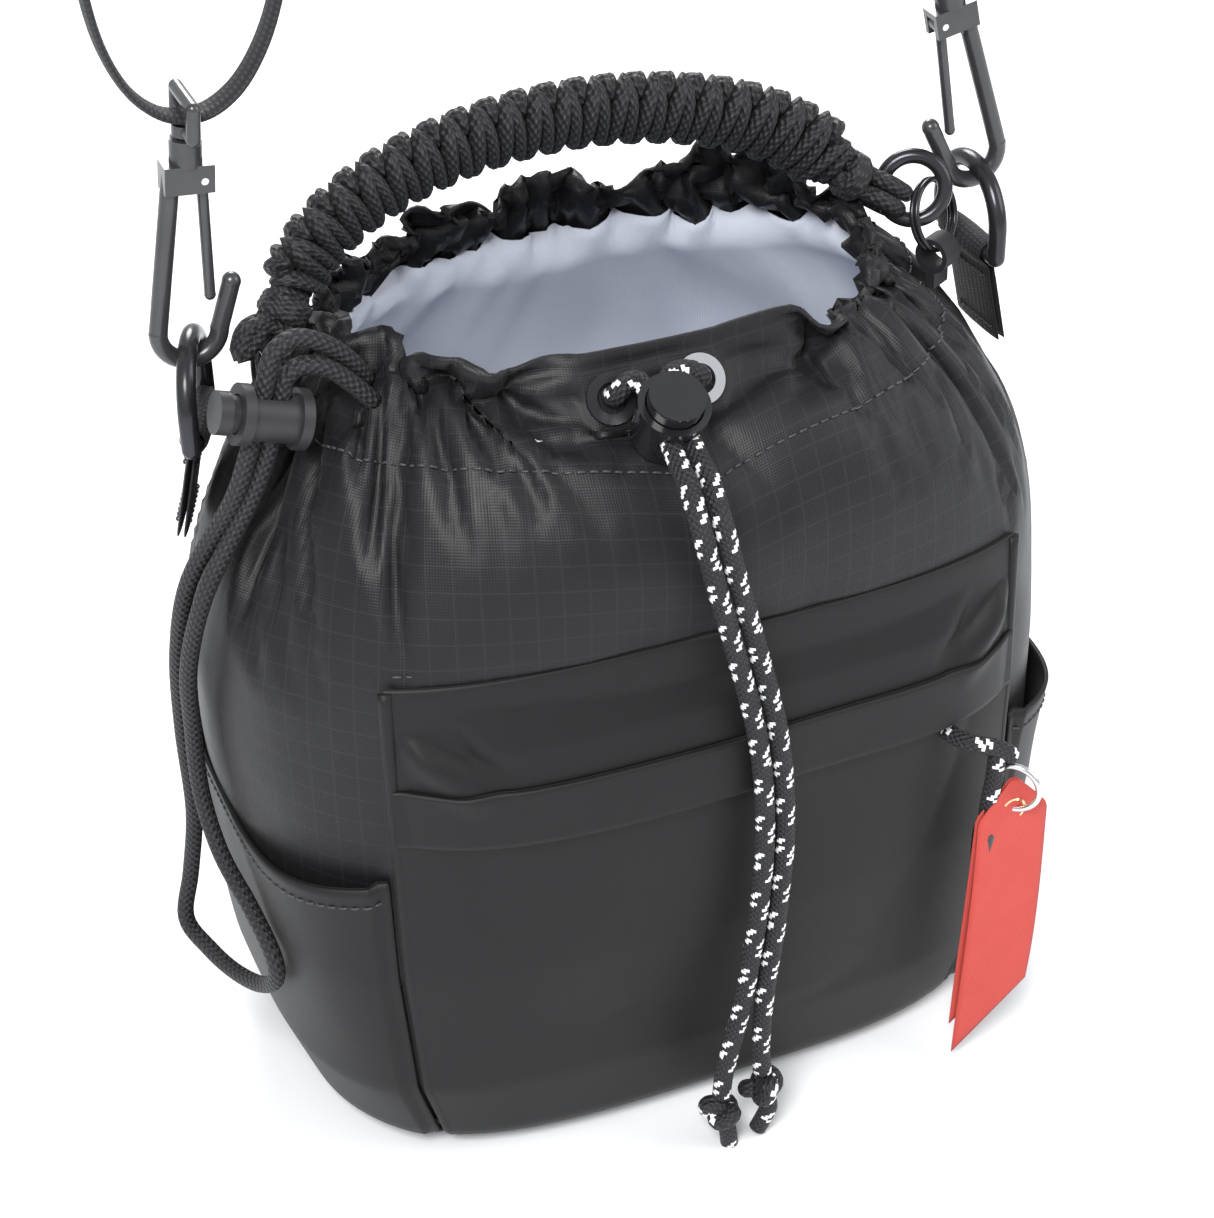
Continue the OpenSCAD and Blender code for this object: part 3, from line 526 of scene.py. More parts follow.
def drape_upper():
    """Cloth simulation of the upper bag: a straight tube of fabric whose mouth is drawn in along its cord."""
    t_low, around = even_angles(0.5, COLS)
    t_mouth, wave, rise, tongue = gathered_ring()
    lengths = column_lengths(t_mouth) + 3.0
    rows = CLOTH_ROWS + HEM_ROWS + 1
    low = skin(t_low, PIN_V)
    start = np.repeat(low[None], rows, 0)
    heights = lengths[None] * (np.arange(rows) / CLOTH_ROWS)[:, None]
    start[..., 2] = PIN_V * BODY_H + heights
    rest_v = np.clip(start[..., 2] / BODY_H, 0, 0.6)
    for i in range(rows):
        start[i, :, :2] = np.stack([skin(t, v)[:2] for t, v in zip(t_low, rest_v[i])])
    goal = start.copy()
    ring = skin(t_mouth, CORD_V)
    outward = ring - ring.mean(0)
    outward[:, 2] = 0
    outward /= np.linalg.norm(outward, axis=1)[:, None]
    ring = ring + outward * (wave + 1.2 * tongue)[:, None]
    ring[:, 2] += rise
    goal[CLOTH_ROWS] = ring
    pinned = np.zeros((rows, COLS), bool)
    pinned[:2] = True
    pinned[CLOTH_ROWS] = True
    behind_pocket = (np.abs(low[:, 0]) < 72) & (low[:, 1] < 0)
    pinned |= behind_pocket[None] & (start[..., 2] < 137)
    # flat discs of fabric under the eyelets
    row_step = lengths.mean() / CLOTH_ROWS
    for x in EYELET_X:
        for i in range(CLOTH_ROWS - 3, CLOTH_ROWS + 4):
            near = (np.abs(ring[:, 0] - x) < 6.5) & (ring[:, 1] < 0)
            up = (i - CLOTH_ROWS) * row_step
            flat = np.stack([ring[near, 0], np.full(near.sum(), EYELET_Y), np.full(near.sum(), EYELET_Z)], 1)
            goal[i, near] = flat + up * EYELET_UP - 0.2 * EYELET_OUT
            pinned[i, near] = True
    piece = add_mesh("upper_cloth", start.reshape(-1, 3), grid_faces(rows, COLS, True), "ripstop", None)
    group = piece.vertex_groups.new(name="pin")
    group.add([int(k) for k in np.flatnonzero(pinned.ravel())], 1.0, "REPLACE")
    piece.shape_key_add(name="start")
    key = piece.shape_key_add(name="drawn")
    key.data.foreach_set("co", (goal.reshape(-1, 3) * MM).astype(np.float32).ravel())
    drawn_at, last = 26, 36
    key.value = 0.0
    key.keyframe_insert("value", frame=1)
    key.value = 1.0
    key.keyframe_insert("value", frame=drawn_at)
    cloth = piece.modifiers.new("cloth", "CLOTH")
    cloth.settings.quality = 6
    cloth.settings.mass = 0.04
    cloth.settings.tension_stiffness = 40
    cloth.settings.compression_stiffness = 30
    cloth.settings.shear_stiffness = 6
    cloth.settings.bending_stiffness = 0.12
    cloth.settings.air_damping = 2
    cloth.settings.vertex_group_mass = "pin"
    cloth.settings.effector_weights.gravity = 0.006
    cloth.settings.use_pressure = True
    cloth.settings.uniform_pressure_force = 420
    cloth.collision_settings.use_collision = False
    cloth.point_cache.frame_start = 1
    cloth.point_cache.frame_end = last
    scene = bpy.context.scene
    scene.frame_start, scene.frame_end = 1, last
    for f in range(1, last + 1):
        scene.frame_set(f)
    shape = piece.evaluated_get(bpy.context.evaluated_depsgraph_get()).to_mesh()
    found = np.array([v.co for v in shape.vertices], float).reshape(rows, COLS, 3) / MM
    bpy.data.objects.remove(piece)
    scene.frame_set(1)
    return found, t_low, around, lengths


def normals_of(grid):
    """Outward unit normals of a wrapped grid of points."""
    across = np.roll(grid, -1, 1) - np.roll(grid, 1, 1)
    up = np.gradient(grid, axis=0)
    n = np.cross(across, up)
    return n / np.maximum(np.linalg.norm(n, axis=2), 1e-9)[..., None]


def smoothed(ring, width):
    """A closed ring of points, each the mean of its neighbours up to width columns away."""
    return sum(np.roll(ring, k, 0) for k in range(-width, width + 1)) / (2 * width + 1)


def make_shell():
    """The ripstop body: plain rows from the base up, and the draped rows above them."""
    upper, t_low, around, lengths = drape_upper()
    low_v = np.concatenate([[0.0, 0.004, 0.012, 0.03, 0.06, 0.09], np.linspace(0.12, PIN_V, 12)[:-1]])
    low = np.array([skin(t_low, v) for v in low_v])
    low[0] *= [0.985, 0.985, 1]
    s = np.arange(COLS) / COLS * around
    for i, v in enumerate(low_v):
        soft = np.interp(v, [0, 0.05, PIN_V], [0, 1, 0.6])
        ripple = 0.9 * np.sin(s / 17.0 + 3 * v) + 0.6 * np.sin(s / 7.3 - 9 * v + 1)
        out = skin(t_low, v, 0) - skin(t_low, v, 1)
        covered = (np.abs(low[i][:, 0]) < 70) & (low[i][:, 1] < 0)
        low[i] += out * (ripple * soft * 0.7 - 0.6 - 1.6 * covered)[:, None]
    grid = np.concatenate([low, upper])
    us = np.linspace(0, around, COLS + 1)
    vs = np.concatenate([low_v * BODY_H, PIN_V * BODY_H + lengths.mean() * np.arange(len(upper)) / CLOTH_ROWS])
    points = grid.reshape(-1, 3)
    faces, uv = grid_faces(len(grid), COLS, True), grid_uv(us, vs, True)
    centre = len(points)
    points = np.concatenate([points, [[0, 0, 0.0]]])
    faces += [(centre, (j + 1) % COLS, j) for j in range(COLS)]
    uv = np.concatenate([uv, np.zeros((3 * COLS, 2))])
    shell = add_mesh("bag_shell", points, faces, "ripstop", "bag", uv, replaces=(
        "front_yoke", "back_panel", "side_panel_left", "side_panel_right", "casing_front", "casing_back",
        "drawcord_channel", "front_panel", "base_panel"))
    thicken(shell, 0.9)
    return grid, len(low)


def make_lining(grid, first_cloth):
    """The pale lining: it hangs inside the gathered mouth and follows the walls down to the base."""
    top = first_cloth + CLOTH_ROWS - LINING_ROWS
    normals = normals_of(grid)
    t_low, around = even_angles(0.5, COLS)
    rows = []
    depth = (top - first_cloth) // 2
    for k in range(depth):
        i = top - 2 * k
        near = smoothed(grid[i], 1) - smoothed(normals[i], 2) * 2.4
        even = smoothed(grid[i], 9)
        inward = even[:, :2].mean(0) - even[:, :2]
        inward /= np.linalg.norm(inward, axis=1)[:, None]
        even[:, :2] += inward * 9.0
        share = min(1.0, k / 2.0)
        rows.append(near * (1 - share) + even * share)
    for v in (0.3, 0.2, 0.1, 0.05, 0.025):
        rows.append(skin(t_low, v, 7.0))
    sheet = np.array(rows)
    sheet[:, :, 2] = np.maximum(sheet[:, :, 2], 4.5)
    for i in range(1, len(sheet)):
        s = np.arange(COLS) / COLS * 2 * np.pi
        ripple = 0.8 * np.sin(9 * s + i * 0.7) + 0.5 * np.sin(17 * s - i * 0.4)
        sheet[i, :, :2] *= (1 - ripple * 0.006)[:, None]
    points = np.concatenate([sheet.reshape(-1, 3), [[0, 0, 4.5]]])
    faces = grid_faces(len(sheet), COLS, True)
    uv = grid_uv(np.linspace(0, around, COLS + 1), np.arange(len(sheet)) * 8.0, True)
    last = (len(sheet) - 1) * COLS
    faces += [(last + j, last + (j + 1) % COLS, len(points) - 1) for j in range(COLS)]
    uv = np.concatenate([uv, np.zeros((3 * COLS, 2))])
    lining = add_mesh("lining_bag", points, faces, "lining", "bag", uv, replaces=("lining",))
    thicken(lining, 0.5, 1.0)


def make_shell_stitches(grid, first_cloth):
    """The casing's lower stitch line, just under the eyelets."""
    row = first_cloth + CLOTH_ROWS - CASING_ROWS
    normals = normals_of(grid)
    closed = np.concatenate([grid[row], grid[row][:1]])
    out = np.concatenate([normals[row], normals[row][:1]])
    stitches("casing_stitches", closed, out, "bag", lift=0.15)


# ---------------------------------------------------------------- front pocket
SEAM_DEPTH = 0.877
POCKET_HALF = 74.0
POCKET_TOP = 138.0
FLAP_TOP, FLAP_LOW = 113.0, 99.0
BULGE_Z = np.array([0, 4, 12, 30, 60, 95, 112, 122, 130, 135, 138.0])
BULGE = np.array([3.5, 6.5, 9.0, 11.2, 12.6, 13.6, 13.6, 12.4, 9.0, 5.0, 2.0])


def pocket_point(s, z, inset=0.0):
    """A point of the pocket's face: s from -1 to 1 across, height z."""
    w, d, _ = shares(np.asarray(z) / BODY_H)
    x = s * POCKET_HALF * w
    seam = HALF_D * d * SEAM_DEPTH
    bulge = np.interp(z, BULGE_Z, BULGE) * (1 - np.abs(s) ** 4.5)
    # corner tucks: a valley that runs down and in from each upper corner, with a ridge below it
    edge = (1 - np.abs(s)) * POCKET_HALF
    down = POCKET_TOP - z
    along = edge * 0.72 + down * 0.69
    across = -edge * 0.69 + down * 0.72
    reach = np.clip(along / 8, 0, 1) * np.clip((34 - along) / 16, 0, 1)
    tuck = reach * (2.6 * np.exp(-((across - 8.5) / 3.2) ** 2) - 4.4 * np.exp(-((across - 1.5) / 2.6) ** 2))
    # soft diagonal creases at the lower corners and a slow unevenness
    low = 1.6 * np.exp(-((edge - z * 0.9 - 3) / 5.0) ** 2) * np.exp(-(z / 26.0) ** 2)
    slow = 0.7 * np.sin(x / 19 + z / 31) + 0.45 * np.sin(x / 11 - z / 17 + 2)
    flat = np.clip(edge / 12, 0, 1) * np.clip(down / 8, 0, 1)
    y = seam + bulge + (tuck + slow * 0.8) * np.clip(edge / 5, 0, 1) + low * flat - inset
    y = np.maximum(y, skin_y(x, z) + 1.2)
    return np.stack([x, -y, np.broadcast_to(z, np.shape(x)) * 1.0], -1)


def pocket_sheet(name, z0, z1, rows, inset, replaces, thickness):
    s = np.sin(np.linspace(-0.5, 0.5, 121) * np.pi)
    z = np.linspace(z0, z1, rows)
    grid = np.array([pocket_point(s, k, inset) for k in z])
    uv = grid_uv(s * POCKET_HALF, z)
    piece = add_mesh(name, grid.reshape(-1, 3), grid_faces(rows, len(s)), "twill", "bag", uv,
                     replaces=replaces)
    return thicken(piece, thickness, 1.0)


def pocket_row(z, inset, s0=-0.985, s1=0.985):
    """A line across the pocket and its outward normals."""
    s = np.linspace(s0, s1, 160)
    line = pocket_point(s, z, inset)
    step = pocket_point(s, z + 0.5, inset) - line
    out = np.cross(np.gradient(line, axis=0), step)
    return line, out / np.linalg.norm(out, axis=1)[:, None]


def make_pocket():
    pocket_sheet("pocket_face", FLAP_TOP - 0.5, POCKET_TOP, 26, 0.6, ("pocket_upper",), 0.8)
    pocket_sheet("pocket_zip_flap", FLAP_LOW, FLAP_TOP, 14, 0.0, ("pocket_flap",), 1.5)
    pocket_sheet("pocket_front", 0.6, FLAP_LOW + 3, 60, 2.6, ("pocket_lower",), 0.8)
    for name, z, inset in (("flap_stitches_high", FLAP_TOP - 1.8, -0.1),
                           ("flap_stitches_low", FLAP_LOW + 2.4, -0.1),
                           ("pocket_top_stitches", POCKET_TOP - 1.4, 0.5)):
        line, out = pocket_row(z, inset)
        stitches(name, line, out, "bag")
    # the yoke's topstitch just above the pocket, and bound seams down both sides
    x = np.linspace(-72, 72, 160)
    line = np.stack([x, -skin_y(x, POCKET_TOP + 2.2) - 0.3, np.full_like(x, POCKET_TOP + 2.2)], 1)
    stitches("yoke_stitches", line, np.tile([0, -1, 0.1], (len(x), 1)), "bag")
    for side, label in ((-1, "left"), (1, "right")):
        z = np.linspace(3, POCKET_TOP - 0.5, 60)
        w, d, _ = shares(z / BODY_H)
        line = np.stack([side * (POCKET_HALF * w + 0.2), -(HALF_D * d * SEAM_DEPTH + 1.0), z], 1)
        add_tube(f"pocket_seam_{label}", line, 1.5, 1.1, "twill", "bag", (1, 0, 0), 10)


# ---------------------------------------------------------------- side slip pockets
def make_side_pocket(side, label):
    """A flat patch pocket round the lower side, with a turned, stitched top edge."""
    t = np.linspace(-50, 50, 110) if side > 0 else np.linspace(130, 230, 110)
    front_end = -50 if side > 0 else 230
    high = 0.44
    rows = 34
    grid = []
    for k in np.linspace(0, 1, rows):
        gape = 1.4 * np.clip((k - 0.7) / 0.3, 0, 1) ** 2
        v = 0.006 + (high - 0.006 - 0.02 * np.cos(np.radians(t - (0 if side > 0 else 180)) * 1.8)) * k
        inset = np.where(np.abs(t - front_end) < 3, -1.0, -1.9 - gape - 0.5 * np.sin(t / 9 + 4 * k))
        grid.append(np.array([skin(a, b, c) for a, b, c in zip(t, v, inset)]))
    grid = np.array(grid)
    arc = np.concatenate([[0], np.cumsum(np.linalg.norm(np.diff(grid[rows // 2], axis=0), axis=1))])
    uv = grid_uv(arc, np.linspace(0, high * BODY_H, rows))
    faces = grid_faces(rows, len(t))
    piece = add_mesh(f"slip_pocket_{label}", grid.reshape(-1, 3), faces, "twill", "bag", uv,
                     replaces=(f"side_pocket_{label}",))
    thicken(piece, 1.0, 0.0)
    row = rows - 3
    step = np.cross(np.gradient(grid[row], axis=0), grid[row + 1] - grid[row])
    out = step / np.linalg.norm(step, axis=1)[:, None]
    stitches(f"slip_pocket_stitches_{label}", grid[row][2:-2], out[2:-2], "bag", lift=0.55)


# ---------------------------------------------------------------- braided handle
SWING = np.array([0, -2.0, 183.0])
LEAN = math.radians(20)
ARCH_X, ARCH_HALF, ARCH_LOW, ARCH_RISE = -5.0, 67.0, 12.0, 33.0
LEFT_EYE = np.array([-78.0, 0, 9.5])
RIGHT_EYE = np.array([69.0, 0, 15.0])


def leaning(p):
    """From the handle's own upright frame to the bag's."""
    p = np.asarray(p, float)
    c, s = math.cos(LEAN), math.sin(LEAN)
    return np.stack([p[..., 0], p[..., 1] * c + p[..., 2] * s, -p[..., 1] * s + p[..., 2] * c], -1) + SWING


def make_handle():
    """Cobra braid: two cords that cross over and under four core cords and lock at the edges."""
    angle = np.radians(np.linspace(170, 18.9, 200))
    arch = np.stack([ARCH_X + ARCH_HALF * np.cos(angle), 0 * angle, ARCH_LOW + ARCH_RISE * np.sin(angle)], 1)
    line = resample(leaning(arch), 0.5)
    t, w, n = frames(line, leaning([0, 1, 0]) - SWING)
    along = np.concatenate([[0], np.cumsum(np.linalg.norm(np.diff(line, axis=0), axis=1))])
    total = along[-1]
    turn = math.radians(-48)
    wide = w * math.cos(turn) + n * math.sin(turn)
    thick = np.cross(t, wide)
    if thick[len(thick) // 2] @ np.array([0, -0.7, 0.7]) < 0:
        thick = -thick
    steps = 44
    pitch = total / steps
    half_w, half_t = 6.6, 3.3

    def at(s, across, out):
        """A point of the braid at length s, across its width and out of its face."""
        spot = [np.interp(s, along, line[:, k]) for k in range(3)]
        a = [np.interp(s, along, wide[:, k]) for k in range(3)]
        o = [np.interp(s, along, thick[:, k]) for k in range(3)]
        return np.stack([spot[k] + across * a[k] + out * o[k] for k in range(3)], 1)

    parts = []
    u = np.linspace(0, steps, steps * 14 + 1)
    for sign in (1, -1):
        swing = np.cos(np.pi * u)
        face = np.abs(np.sin(np.pi * u)) ** 0.75
        s = pitch * (u + 0.10 * np.sin(2 * np.pi * u))
        taper = np.clip(np.minimum(u, steps - u) / 1.5, 0.55, 1)
        across = sign * (half_w + 0.5) * swing * taper
        out = sign * (half_t * (1.55 * face - 0.42)) * taper
        path = at(np.clip(s, 0, total), across, out)
        parts.append(tube_data(path, 2.45, 1.55, thick[0], 12))
    for k in (-1.5, -0.5, 0.5, 1.5):
        core = at(np.linspace(0, total, 120), np.full(120, k * 3.0), np.zeros(120))
        parts.append(tube_data(core, 1.9, 1.9, (0, 1, 0), 8))
    points, faces, uv = joined(parts)
    add_mesh("handle_braid", points, faces, "paracord", "handle", uv, replaces=("handle",))
    make_handle_ends()


def make_handle_ends():
    """The core cords' loops round the rings at both ends, with a wrap above each."""
    parts = []
    cord = 1.9
    for eye, end, flat in ((LEFT_EYE, np.array([-70.0, 0, 18.5]), False),
                           (RIGHT_EYE, np.array([58.6, 0, 22.6]), True)):
        d = end - eye
        d /= np.linalg.norm(d)
        side = np.array([0, 1.0, 0])
        other = np.cross(d, side)
        for k in (-1, 1):
            # each cord comes down one side, round the ring, and up the other side
            a = np.linspace(-0.5 * np.pi, 1.5 * np.pi, 41)[4:-4] - 0.5 * np.pi
            loop = 4.6
            swing = side if flat else other
            ring = eye + loop * (np.cos(a)[:, None] * d + np.sin(a)[:, None] * swing)
            ring = ring + (other if flat else side) * k * 2.0
            legs = [end + swing * q * 2.2 + (other if flat else side) * k * 2.0 for q in (1, -1)]
            legs.sort(key=lambda leg: np.linalg.norm(ring[0] - leg))
            path = smooth_path([legs[0], *ring[::4], legs[1]], 4)
            parts.append(tube_data(leaning(path), cord, cord, (0.3, 1, 0.2), 12))
        # a wrap of three turns where the braid begins
        b = np.linspace(0, 3 * 2 * np.pi, 73)
        centre = eye + d * (7.2 + 3.2 * b / b[-1])[:, None]
        wrap = centre + 4.6 * np.cos(b)[:, None] * side + 3.9 * np.sin(b)[:, None] * other
        parts.append(tube_data(leaning(wrap), 1.8, 1.8, (0.2, 0.1, 1), 10))
    points, faces, uv = joined(parts)
    add_mesh("handle_ends", points, faces, "paracord", "handle", uv)


# ---------------------------------------------------------------- cords
TAIL_LEFT = [
    (-17, -43.5, 188), (-16.4, -45.2, 189.8), (-14.4, -45.2, 191.6), (-12, -45.4, 191.6), (-10.9, -47.8, 190),
    (-10.8, -50.4, 188.5), (-10.8, -53, 187), (-10.8, -58.2, 184), (-10.8, -63, 181.2), (-10.6, -68, 178.2),
    (-10.3, -72.5, 172), (-7.5, -74.2, 158), (-3, -74.5, 140), (2.5, -75, 115), (4.5, -75, 90), (3, -75, 65),
    (-1, -75.5, 40), (-5, -76, 24), (-6, -76, 15)]
TAIL_RIGHT = [
    (3, -43.5, 188), (2, -45.2, 189.8), (-1, -45.2, 191.6), (-4.6, -45.4, 191.6), (-6.1, -47.8, 190),
    (-6.2, -50.4, 188.5), (-6.2, -53, 187), (-6.2, -58.2, 184), (-6.1, -63, 181.2), (-5.8, -68, 178.2),
    (-5.4, -72.5, 172), (-2.6, -74.2, 158), (1.9, -74.5, 140), (7.4, -75, 115), (9.4, -75, 90), (8, -75, 65),
    (5, -75.5, 42), (4, -76, 27), (4.5, -76, 19)]
SIDE_CORD = [
    (-61.5, -17, 189), (-65, -18.5, 195), (-70.5, -19, 200.5), (-76.5, -19, 203), (-81.3, -19.5, 200.8),
    (-83.2, -20, 196.2), (-84.1, -20, 193.3), (-85.95, -20, 187.6), (-87.8, -20, 181.9),
    (-88.8, -20, 179), (-93, -19, 168), (-102.5, -12, 147), (-105.5, -5, 125), (-105.5, 1, 100),
    (-105, 3, 75), (-107, 6, 55), (-110, 4, 43), (-107, -4, 38.5), (-103.5, -14, 38), (-100, -24, 41),
    (-98, -31.5, 48), (-98.2, -32, 56), (-100.2, -24, 64), (-103.5, -14, 74), (-105, -8, 88),
    (-105, -8, 106), (-105, -12, 125), (-100.5, -18, 147), (-89.4, -20, 168), (-84.9, -20, 177.8),
    (-83.9, -20, 180.7), (-82.05, -20, 186.4), (-80.2, -20, 192.1), (-79.3, -20, 194.9),
    (-76, -20.5, 197.3), (-71, -21, 196), (-66, -21.5, 191.5), (-61.5, -21.5, 186)]
LOOP_HALF = [(0, 0), (6, 1.5), (12, 7), (17, 17), (20, 30), (20.5, 42), (17, 54), (9, 64),
             (2.8, 71), (1.6, 82)]
IN_LOCK = 7
DRAW_R, PARA_R = 2.2, 2.0


def tracer_cord(name, path, body, replaces=(), phase=0.0):
    """The drawcord: a braid whose strands stand out, with white tracer flecks in two columns."""
    path = resample(path, 0.75)
    sides = 20
    rows = len(path)

    def bulge(i, a):
        along = i * 0.75 * np.pi / 2.4
        return 0.16 * np.abs(np.sin(along + a * 2.5)) * np.abs(np.sin(along - a * 2.5))

    points, faces, uv = tube_data(path, DRAW_R - 0.06, DRAW_R - 0.06, (1, 0, 0.3), sides, bulge)
    mats = np.zeros(len(faces), int)
    spot = np.arange(rows - 1) * 0.75
    for column, shift in ((6, 0.0), (11, 5.2), (16, 2.5), (1, 7.7)):
        lap = (spot + shift + phase) % 10.8
        for i in np.flatnonzero(lap < 4.6):
            # a fleck is two short strands, each a step to the side of the one before
            lean = int(lap[i] / 0.76) % 3
            gap = 2.1 < lap[i] < 2.8
            if not gap:
                for k in (0, 1):
                    mats[i * sides + (column + lean + k) % sides] = 1
    return add_mesh(name, points, faces, ["drawcord", "tracer"], body, uv, mats, replaces)


def make_knot(label, spot, seed):
    """An overhand knot with its short end hanging out below it."""
    a = np.linspace(0.35, 2 * np.pi - 0.2, 70)
    trefoil = np.stack([(np.sin(a) + 1.7 * np.sin(2 * a)) * 1.45, (np.cos(a) - 1.7 * np.cos(2 * a)) * 1.15,
                        -np.sin(3 * a) * 1.5], 1)
    turn = seed * 1.3
    c, s = math.cos(turn), math.sin(turn)
    trefoil = trefoil @ np.array([[c, 0, s], [0, 1, 0], [-s, 0, c]]).T
    centre = np.array(spot) + [0, 0, -5.0]
    body = tracer_data(trefoil + centre, seed)
    low = centre + [2.2 * math.cos(seed), -0.5, -12.5]
    end = smooth_path([centre + [0.5, -1, -2], centre + [1.2, -1.2, -6], low], 6)
    tail = tracer_data(end, seed + 3)
    points, faces, uv = joined([body[:3], tail[:3]])
    mats = np.concatenate([body[3], tail[3]])
    knot = add_mesh(f"knot_{label}", points, faces, ["drawcord", "tracer"], "bag", uv, mats,
                    (f"drawcord_knot_{label}",))
    return knot


def tracer_data(path, phase):
    path = resample(path, 0.75)
    sides = 16
    points, faces, uv = tube_data(path, DRAW_R - 0.1, DRAW_R - 0.1, (1, 0.2, 0.3), sides)
    mats = np.zeros(len(faces), int)
    spot = np.arange(len(path) - 1) * 0.75
    for column, shift in ((3, 0.0), (10, 4.0)):
        lap = (spot + shift + phase) % 9.0
        for i in np.flatnonzero(lap < 3.6):
            for k in (0, 1):
                mats[i * sides + (column + int(lap[i] / 0.76) % 3 + k) % sides] = 1
    return points, faces, uv, mats


def make_drawcord():
    for label, route, seed in (("left", TAIL_LEFT, 0.4), ("right", TAIL_RIGHT, 2.2)):
        whole = smooth_path(route, 8)
        split = IN_LOCK * 8 + 2
        tracer_cord(f"drawcord_mouth_{label}", whole[:split], "bag", phase=seed)
        free = whole[split - 1:]
        knot = make_knot(label, route[-1], seed)
        tail = tracer_cord(f"drawcord_{label}", free, "bag", (f"drawcord_tail_{label}",), seed * 2)


def make_side_cord():
    path = smooth_path(SIDE_CORD, 6)
    cord = add_tube("side_loop", path, PARA_R, PARA_R, "paracord", "bag", (0, 1, 0.1), 14,
                    ("side_cord",))


STRAP_TOP = 19.0
HOOKS = {
    "left": dict(ring=np.array([-93, 4, 176.0]), lean=5, turn=0, body="swivel_left"),
    "right": dict(ring=np.array([93, 4, 181.0]), lean=-12, turn=90, body="swivel_right"),
}


def on_hook(hook, p):
    """From a snap hook's own frame, with the D-ring's wire at its origin, to the bag's."""
    p = np.asarray(p, float)
    a = math.radians(hook["lean"])
    c, s = math.cos(a), math.sin(a)
    x, y, z = p[..., 0], p[..., 1], p[..., 2]
    return np.stack([x * c + z * s, y, -x * s + z * c], -1) + hook["ring"] + [0, 0, STRAP_TOP]


def make_straps():
    loop_z = 47.1 + 1.5 + 1.0 + 0.2
    for label, hook in HOOKS.items():
        path = [(-x, 0, z) for x, z in LOOP_HALF[:0:-1]] + [(x, 0, z) for x, z in LOOP_HALF]
        line = smooth_path(path, 6)
        turn = math.radians(hook["turn"])
        c, s = math.cos(turn), math.sin(turn)
        line = np.stack([line[:, 0] * c, line[:, 0] * s, line[:, 2] + loop_z], 1)
        if label == "right":
            line[:, 0] *= -1
        line = on_hook(hook, line)
        side = on_hook(hook, [-s, c, 0]) - on_hook(hook, [0, 0, 0])
        strap = add_tube(f"strap_loop_{label}", line, 4.0, 1.0, "strap", hook["body"], side, 16,
                         (f"strap_{label}",))
        slider = bevelled(f"strap_slider_{label}", "matt_black")


# ---------------------------------------------------------------- zip pull, ring and ribbon tag
PULL_PATH = [(55, -63.2, 95), (56, -66.5, 94.5), (58.5, -70, 94), (64, -72, 92.5), (68, -72.5, 89.5)]
RING = np.array([69, -72.5, 80.0])
RING_R = 6.0


def make_zip_pull():
    """A short tracer cord from the slider to the split ring, with a moulded end that hangs beside the tag."""
    path = smooth_path(PULL_PATH, 5)
    points, faces, uv, mats = tracer_data(path, 1.0)
    add_mesh("zip_pull_tie", points, faces, ["drawcord", "tracer"], "zip_pull", uv, mats,
             ("zip_pull_cord",))
    hang = smooth_path([(64.5, -71.6, 90.5), (64.3, -71.6, 84), (63.6, -71.2, 76), (63.3, -71, 68)], 5)
    points, faces, uv, mats = tracer_data(hang, 0.0)
    add_mesh("zip_pull_hang", points, faces, ["drawcord", "tracer"], "zip_pull", uv, mats)
    end = smooth_path([(63.3, -71, 70), (63.2, -70.9, 66), (63.1, -70.8, 60), (63, -70.8, 57)], 4)
    profile = np.array([1.7, 2.4, 2.7, 2.8, 2.8, 2.8, 2.8, 2.7, 2.6, 2.4, 2.0, 1.4, 0.6])[:len(end)]
    add_tube("zip_pull_grip", end, 0.1, 0.1, "gloss_black", "zip_pull", (1, 0, 0), 16,
             bulge=lambda i, a: profile[i.ravel()][:, None] + np.zeros_like(a))


def make_tag():
    """A folded ribbon: two layers joined at the top by the eyelet, cut on the slant, curling a little."""
    top, length, half = 82.5, 67.0, 9.0
    rows, cols = 40, 13
    layers = []
    for layer in (-1, 1):
        grid = np.zeros((rows, cols, 3))
        for i, k in enumerate(np.linspace(0, 1, rows)):
            for j, c in enumerate(np.linspace(-1, 1, cols)):
                cut = 9.0 * c + 4.0 * layer
                z = top - k * (length - cut * k)
                width = half * min(1.0, 0.10 + k * 6.5)
                sway = 1.6 * math.sin(k * 2.2) * c - 0.5 * layer * k
                curl = 0.35 * c * math.sin(5 * k)
                y = RING[1] + layer * (0.35 + 0.5 * math.sin(k * math.pi) + 0.4 * k) + curl
                grid[i, j] = (RING[0] + width * c - 2.5 * k * k + sway * 0.3, y, z)
        layers.append(grid)
    uv = grid_uv(np.linspace(-half, half, cols), np.linspace(0, length, rows))
    points = np.concatenate([g.reshape(-1, 3) for g in layers])
    faces = grid_faces(rows, cols)
    faces += [tuple(i + rows * cols for i in f) for f in faces]
    tag = add_mesh("ribbon", points, faces, "ribbon", "ribbon_tag", np.concatenate([uv, uv]),
                   replaces=("tag",))
    thicken(tag, 0.4, 0.0)


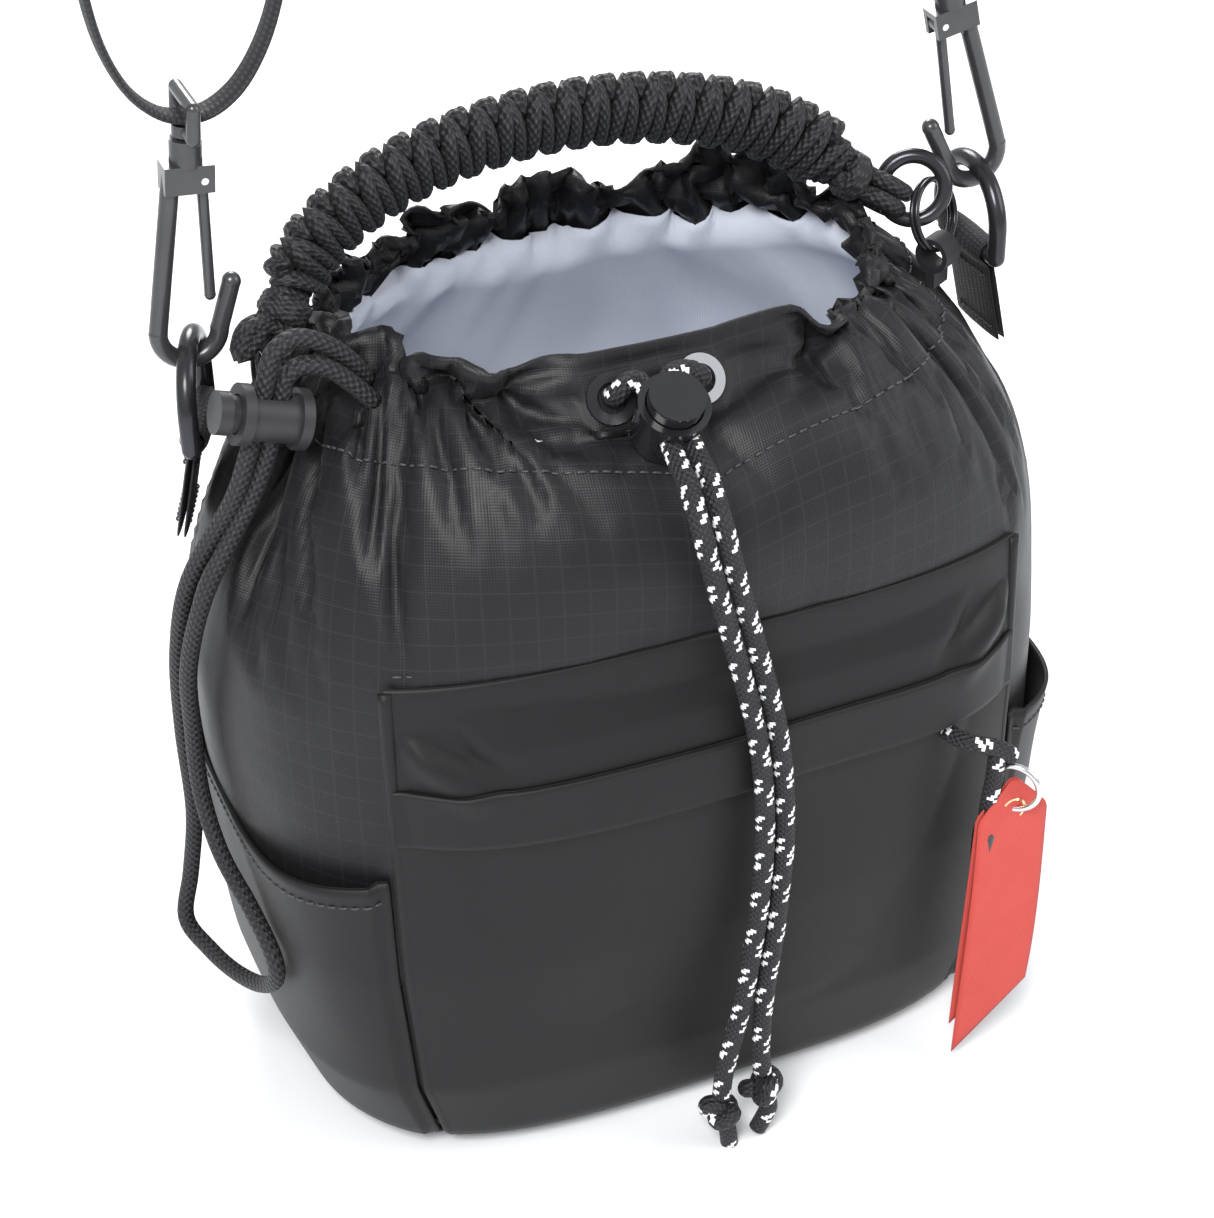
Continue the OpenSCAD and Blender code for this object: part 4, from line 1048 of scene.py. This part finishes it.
# ---------------------------------------------------------------- webbing tabs
def webbing_fold(name, ring, lean, yaw, width, drop, wire, replaces):
    """Webbing folded round a ring's bar and stitched across."""
    inner = wire / 2 + 0.5
    a = np.linspace(0, np.pi, 13)
    arc = [(inner * math.cos(k), 0, inner * math.sin(k)) for k in a]
    outer = [(0.75, 0, -drop + i * (drop - 4) / 7) for i in range(8)]
    inner_side = [(-0.75, 0, -4 - i * (drop - 4) / 7) for i in range(8)]
    near, far = (inner * 0.98, 0, -1.2), (-inner * 0.98, 0, -1.2)
    path = resample(smooth_path([*outer, near, *arc, far, *inner_side], 3), 1.2)
    cl, sl = math.cos(lean), math.sin(lean)
    cy, sy = math.cos(yaw), math.sin(yaw)

    def place(p):
        p = np.asarray(p, float)
        x, y, z = p[..., 0] * cl + p[..., 2] * sl, p[..., 1], -p[..., 0] * sl + p[..., 2] * cl
        return np.stack([x * cy - y * sy, x * sy + y * cy, z], -1) + ring

    line = place(path)
    side = place([0, 1, 0]) - place([0, 0, 0])
    piece = add_tube(name, line, width / 2, 0.65, "webbing", "bag", side, 24, replaces)
    for i, z in enumerate((-6.5, -drop + 3)):
        for q in (1, -1):
            row = place(np.stack([np.full(20, q * 1.45), np.linspace(-width / 2 + 1.5, width / 2 - 1.5, 20),
                                  np.full(20, z)], 1))
            out = place([q, 0, 0]) - place([0, 0, 0])
            label = "a" if q > 0 else "b"
            stitches(f"{name}_stitches_{i}_{label}", row, np.tile(out, (20, 1)), "bag",
                     2.0, 1.4, 0.28, 0.0)
    return piece


# ---------------------------------------------------------------- build
make_camera()
make_drawcord()
make_side_cord()
make_straps()
make_light()
shell_grid, first_cloth_row = make_shell()
make_lining(shell_grid, first_cloth_row)
make_shell_stitches(shell_grid, first_cloth_row)
make_pocket()
make_side_pocket(-1, "left")
make_side_pocket(1, "right")
make_handle()
make_zip_pull()
make_tag()
webbing_fold("tab_left", HOOKS["left"]["ring"], math.radians(12), math.radians(-22), 20, 24, 4.2,
             ("strap_tab_left",))
webbing_fold("tab_right", HOOKS["right"]["ring"], math.radians(-12), 0, 20, 24, 4.2, ("strap_tab_right",))

for node, material in {
    "strap_dring_left": "ring_metal", "strap_dring_right": "ring_metal", "handle_dring": "ring_metal",
    "handle_oring": "ring_metal", "split_ring": "ring_metal", "snap_hook_left": "hook_metal",
    "snap_hook_right": "hook_metal", "gate_left": "hook_metal", "gate_right": "hook_metal",
    "gate_pin_left": "steel", "gate_pin_right": "steel", "strap_eye_left": "hook_metal",
    "strap_eye_right": "hook_metal", "pull_ring": "steel", "tag_eyelet": "brass", "eyelet_left": "ring_metal",
    "eyelet_right": "steel", "handle_tab_left": "webbing", "handle_tab_right": "webbing",
    "cord_lock_barrel": "gloss_black", "cord_lock_button": "gloss_black", "cord_lock_spring": "steel",
    "side_lock_body": "matt_black", "side_lock_plunger": "matt_black", "side_lock_spring": "steel",
    "zip_tape": "zip_tape", "zip_slider": "ring_metal",
}.items():
    bevelled(node, material)


def make_floor():
    half = 3.0
    data = bpy.data.meshes.new("floor")
    corners = [(-half, -half, 0), (half, -half, 0), (half, half, 0), (-half, half, 0)]
    data.from_pydata(corners, [], [(0, 1, 2, 3)])
    n = Nodes("floor")
    n.link(n.mix(n.noise(3), (0.86, 0.87, 0.88), (0.9, 0.905, 0.91)), n.shader.inputs["Base Color"])
    n.finish(0.7)
    data.materials.append(n.material)
    floor = bpy.data.objects.new("floor", data)
    bpy.context.scene.collection.objects.link(floor)


make_floor()
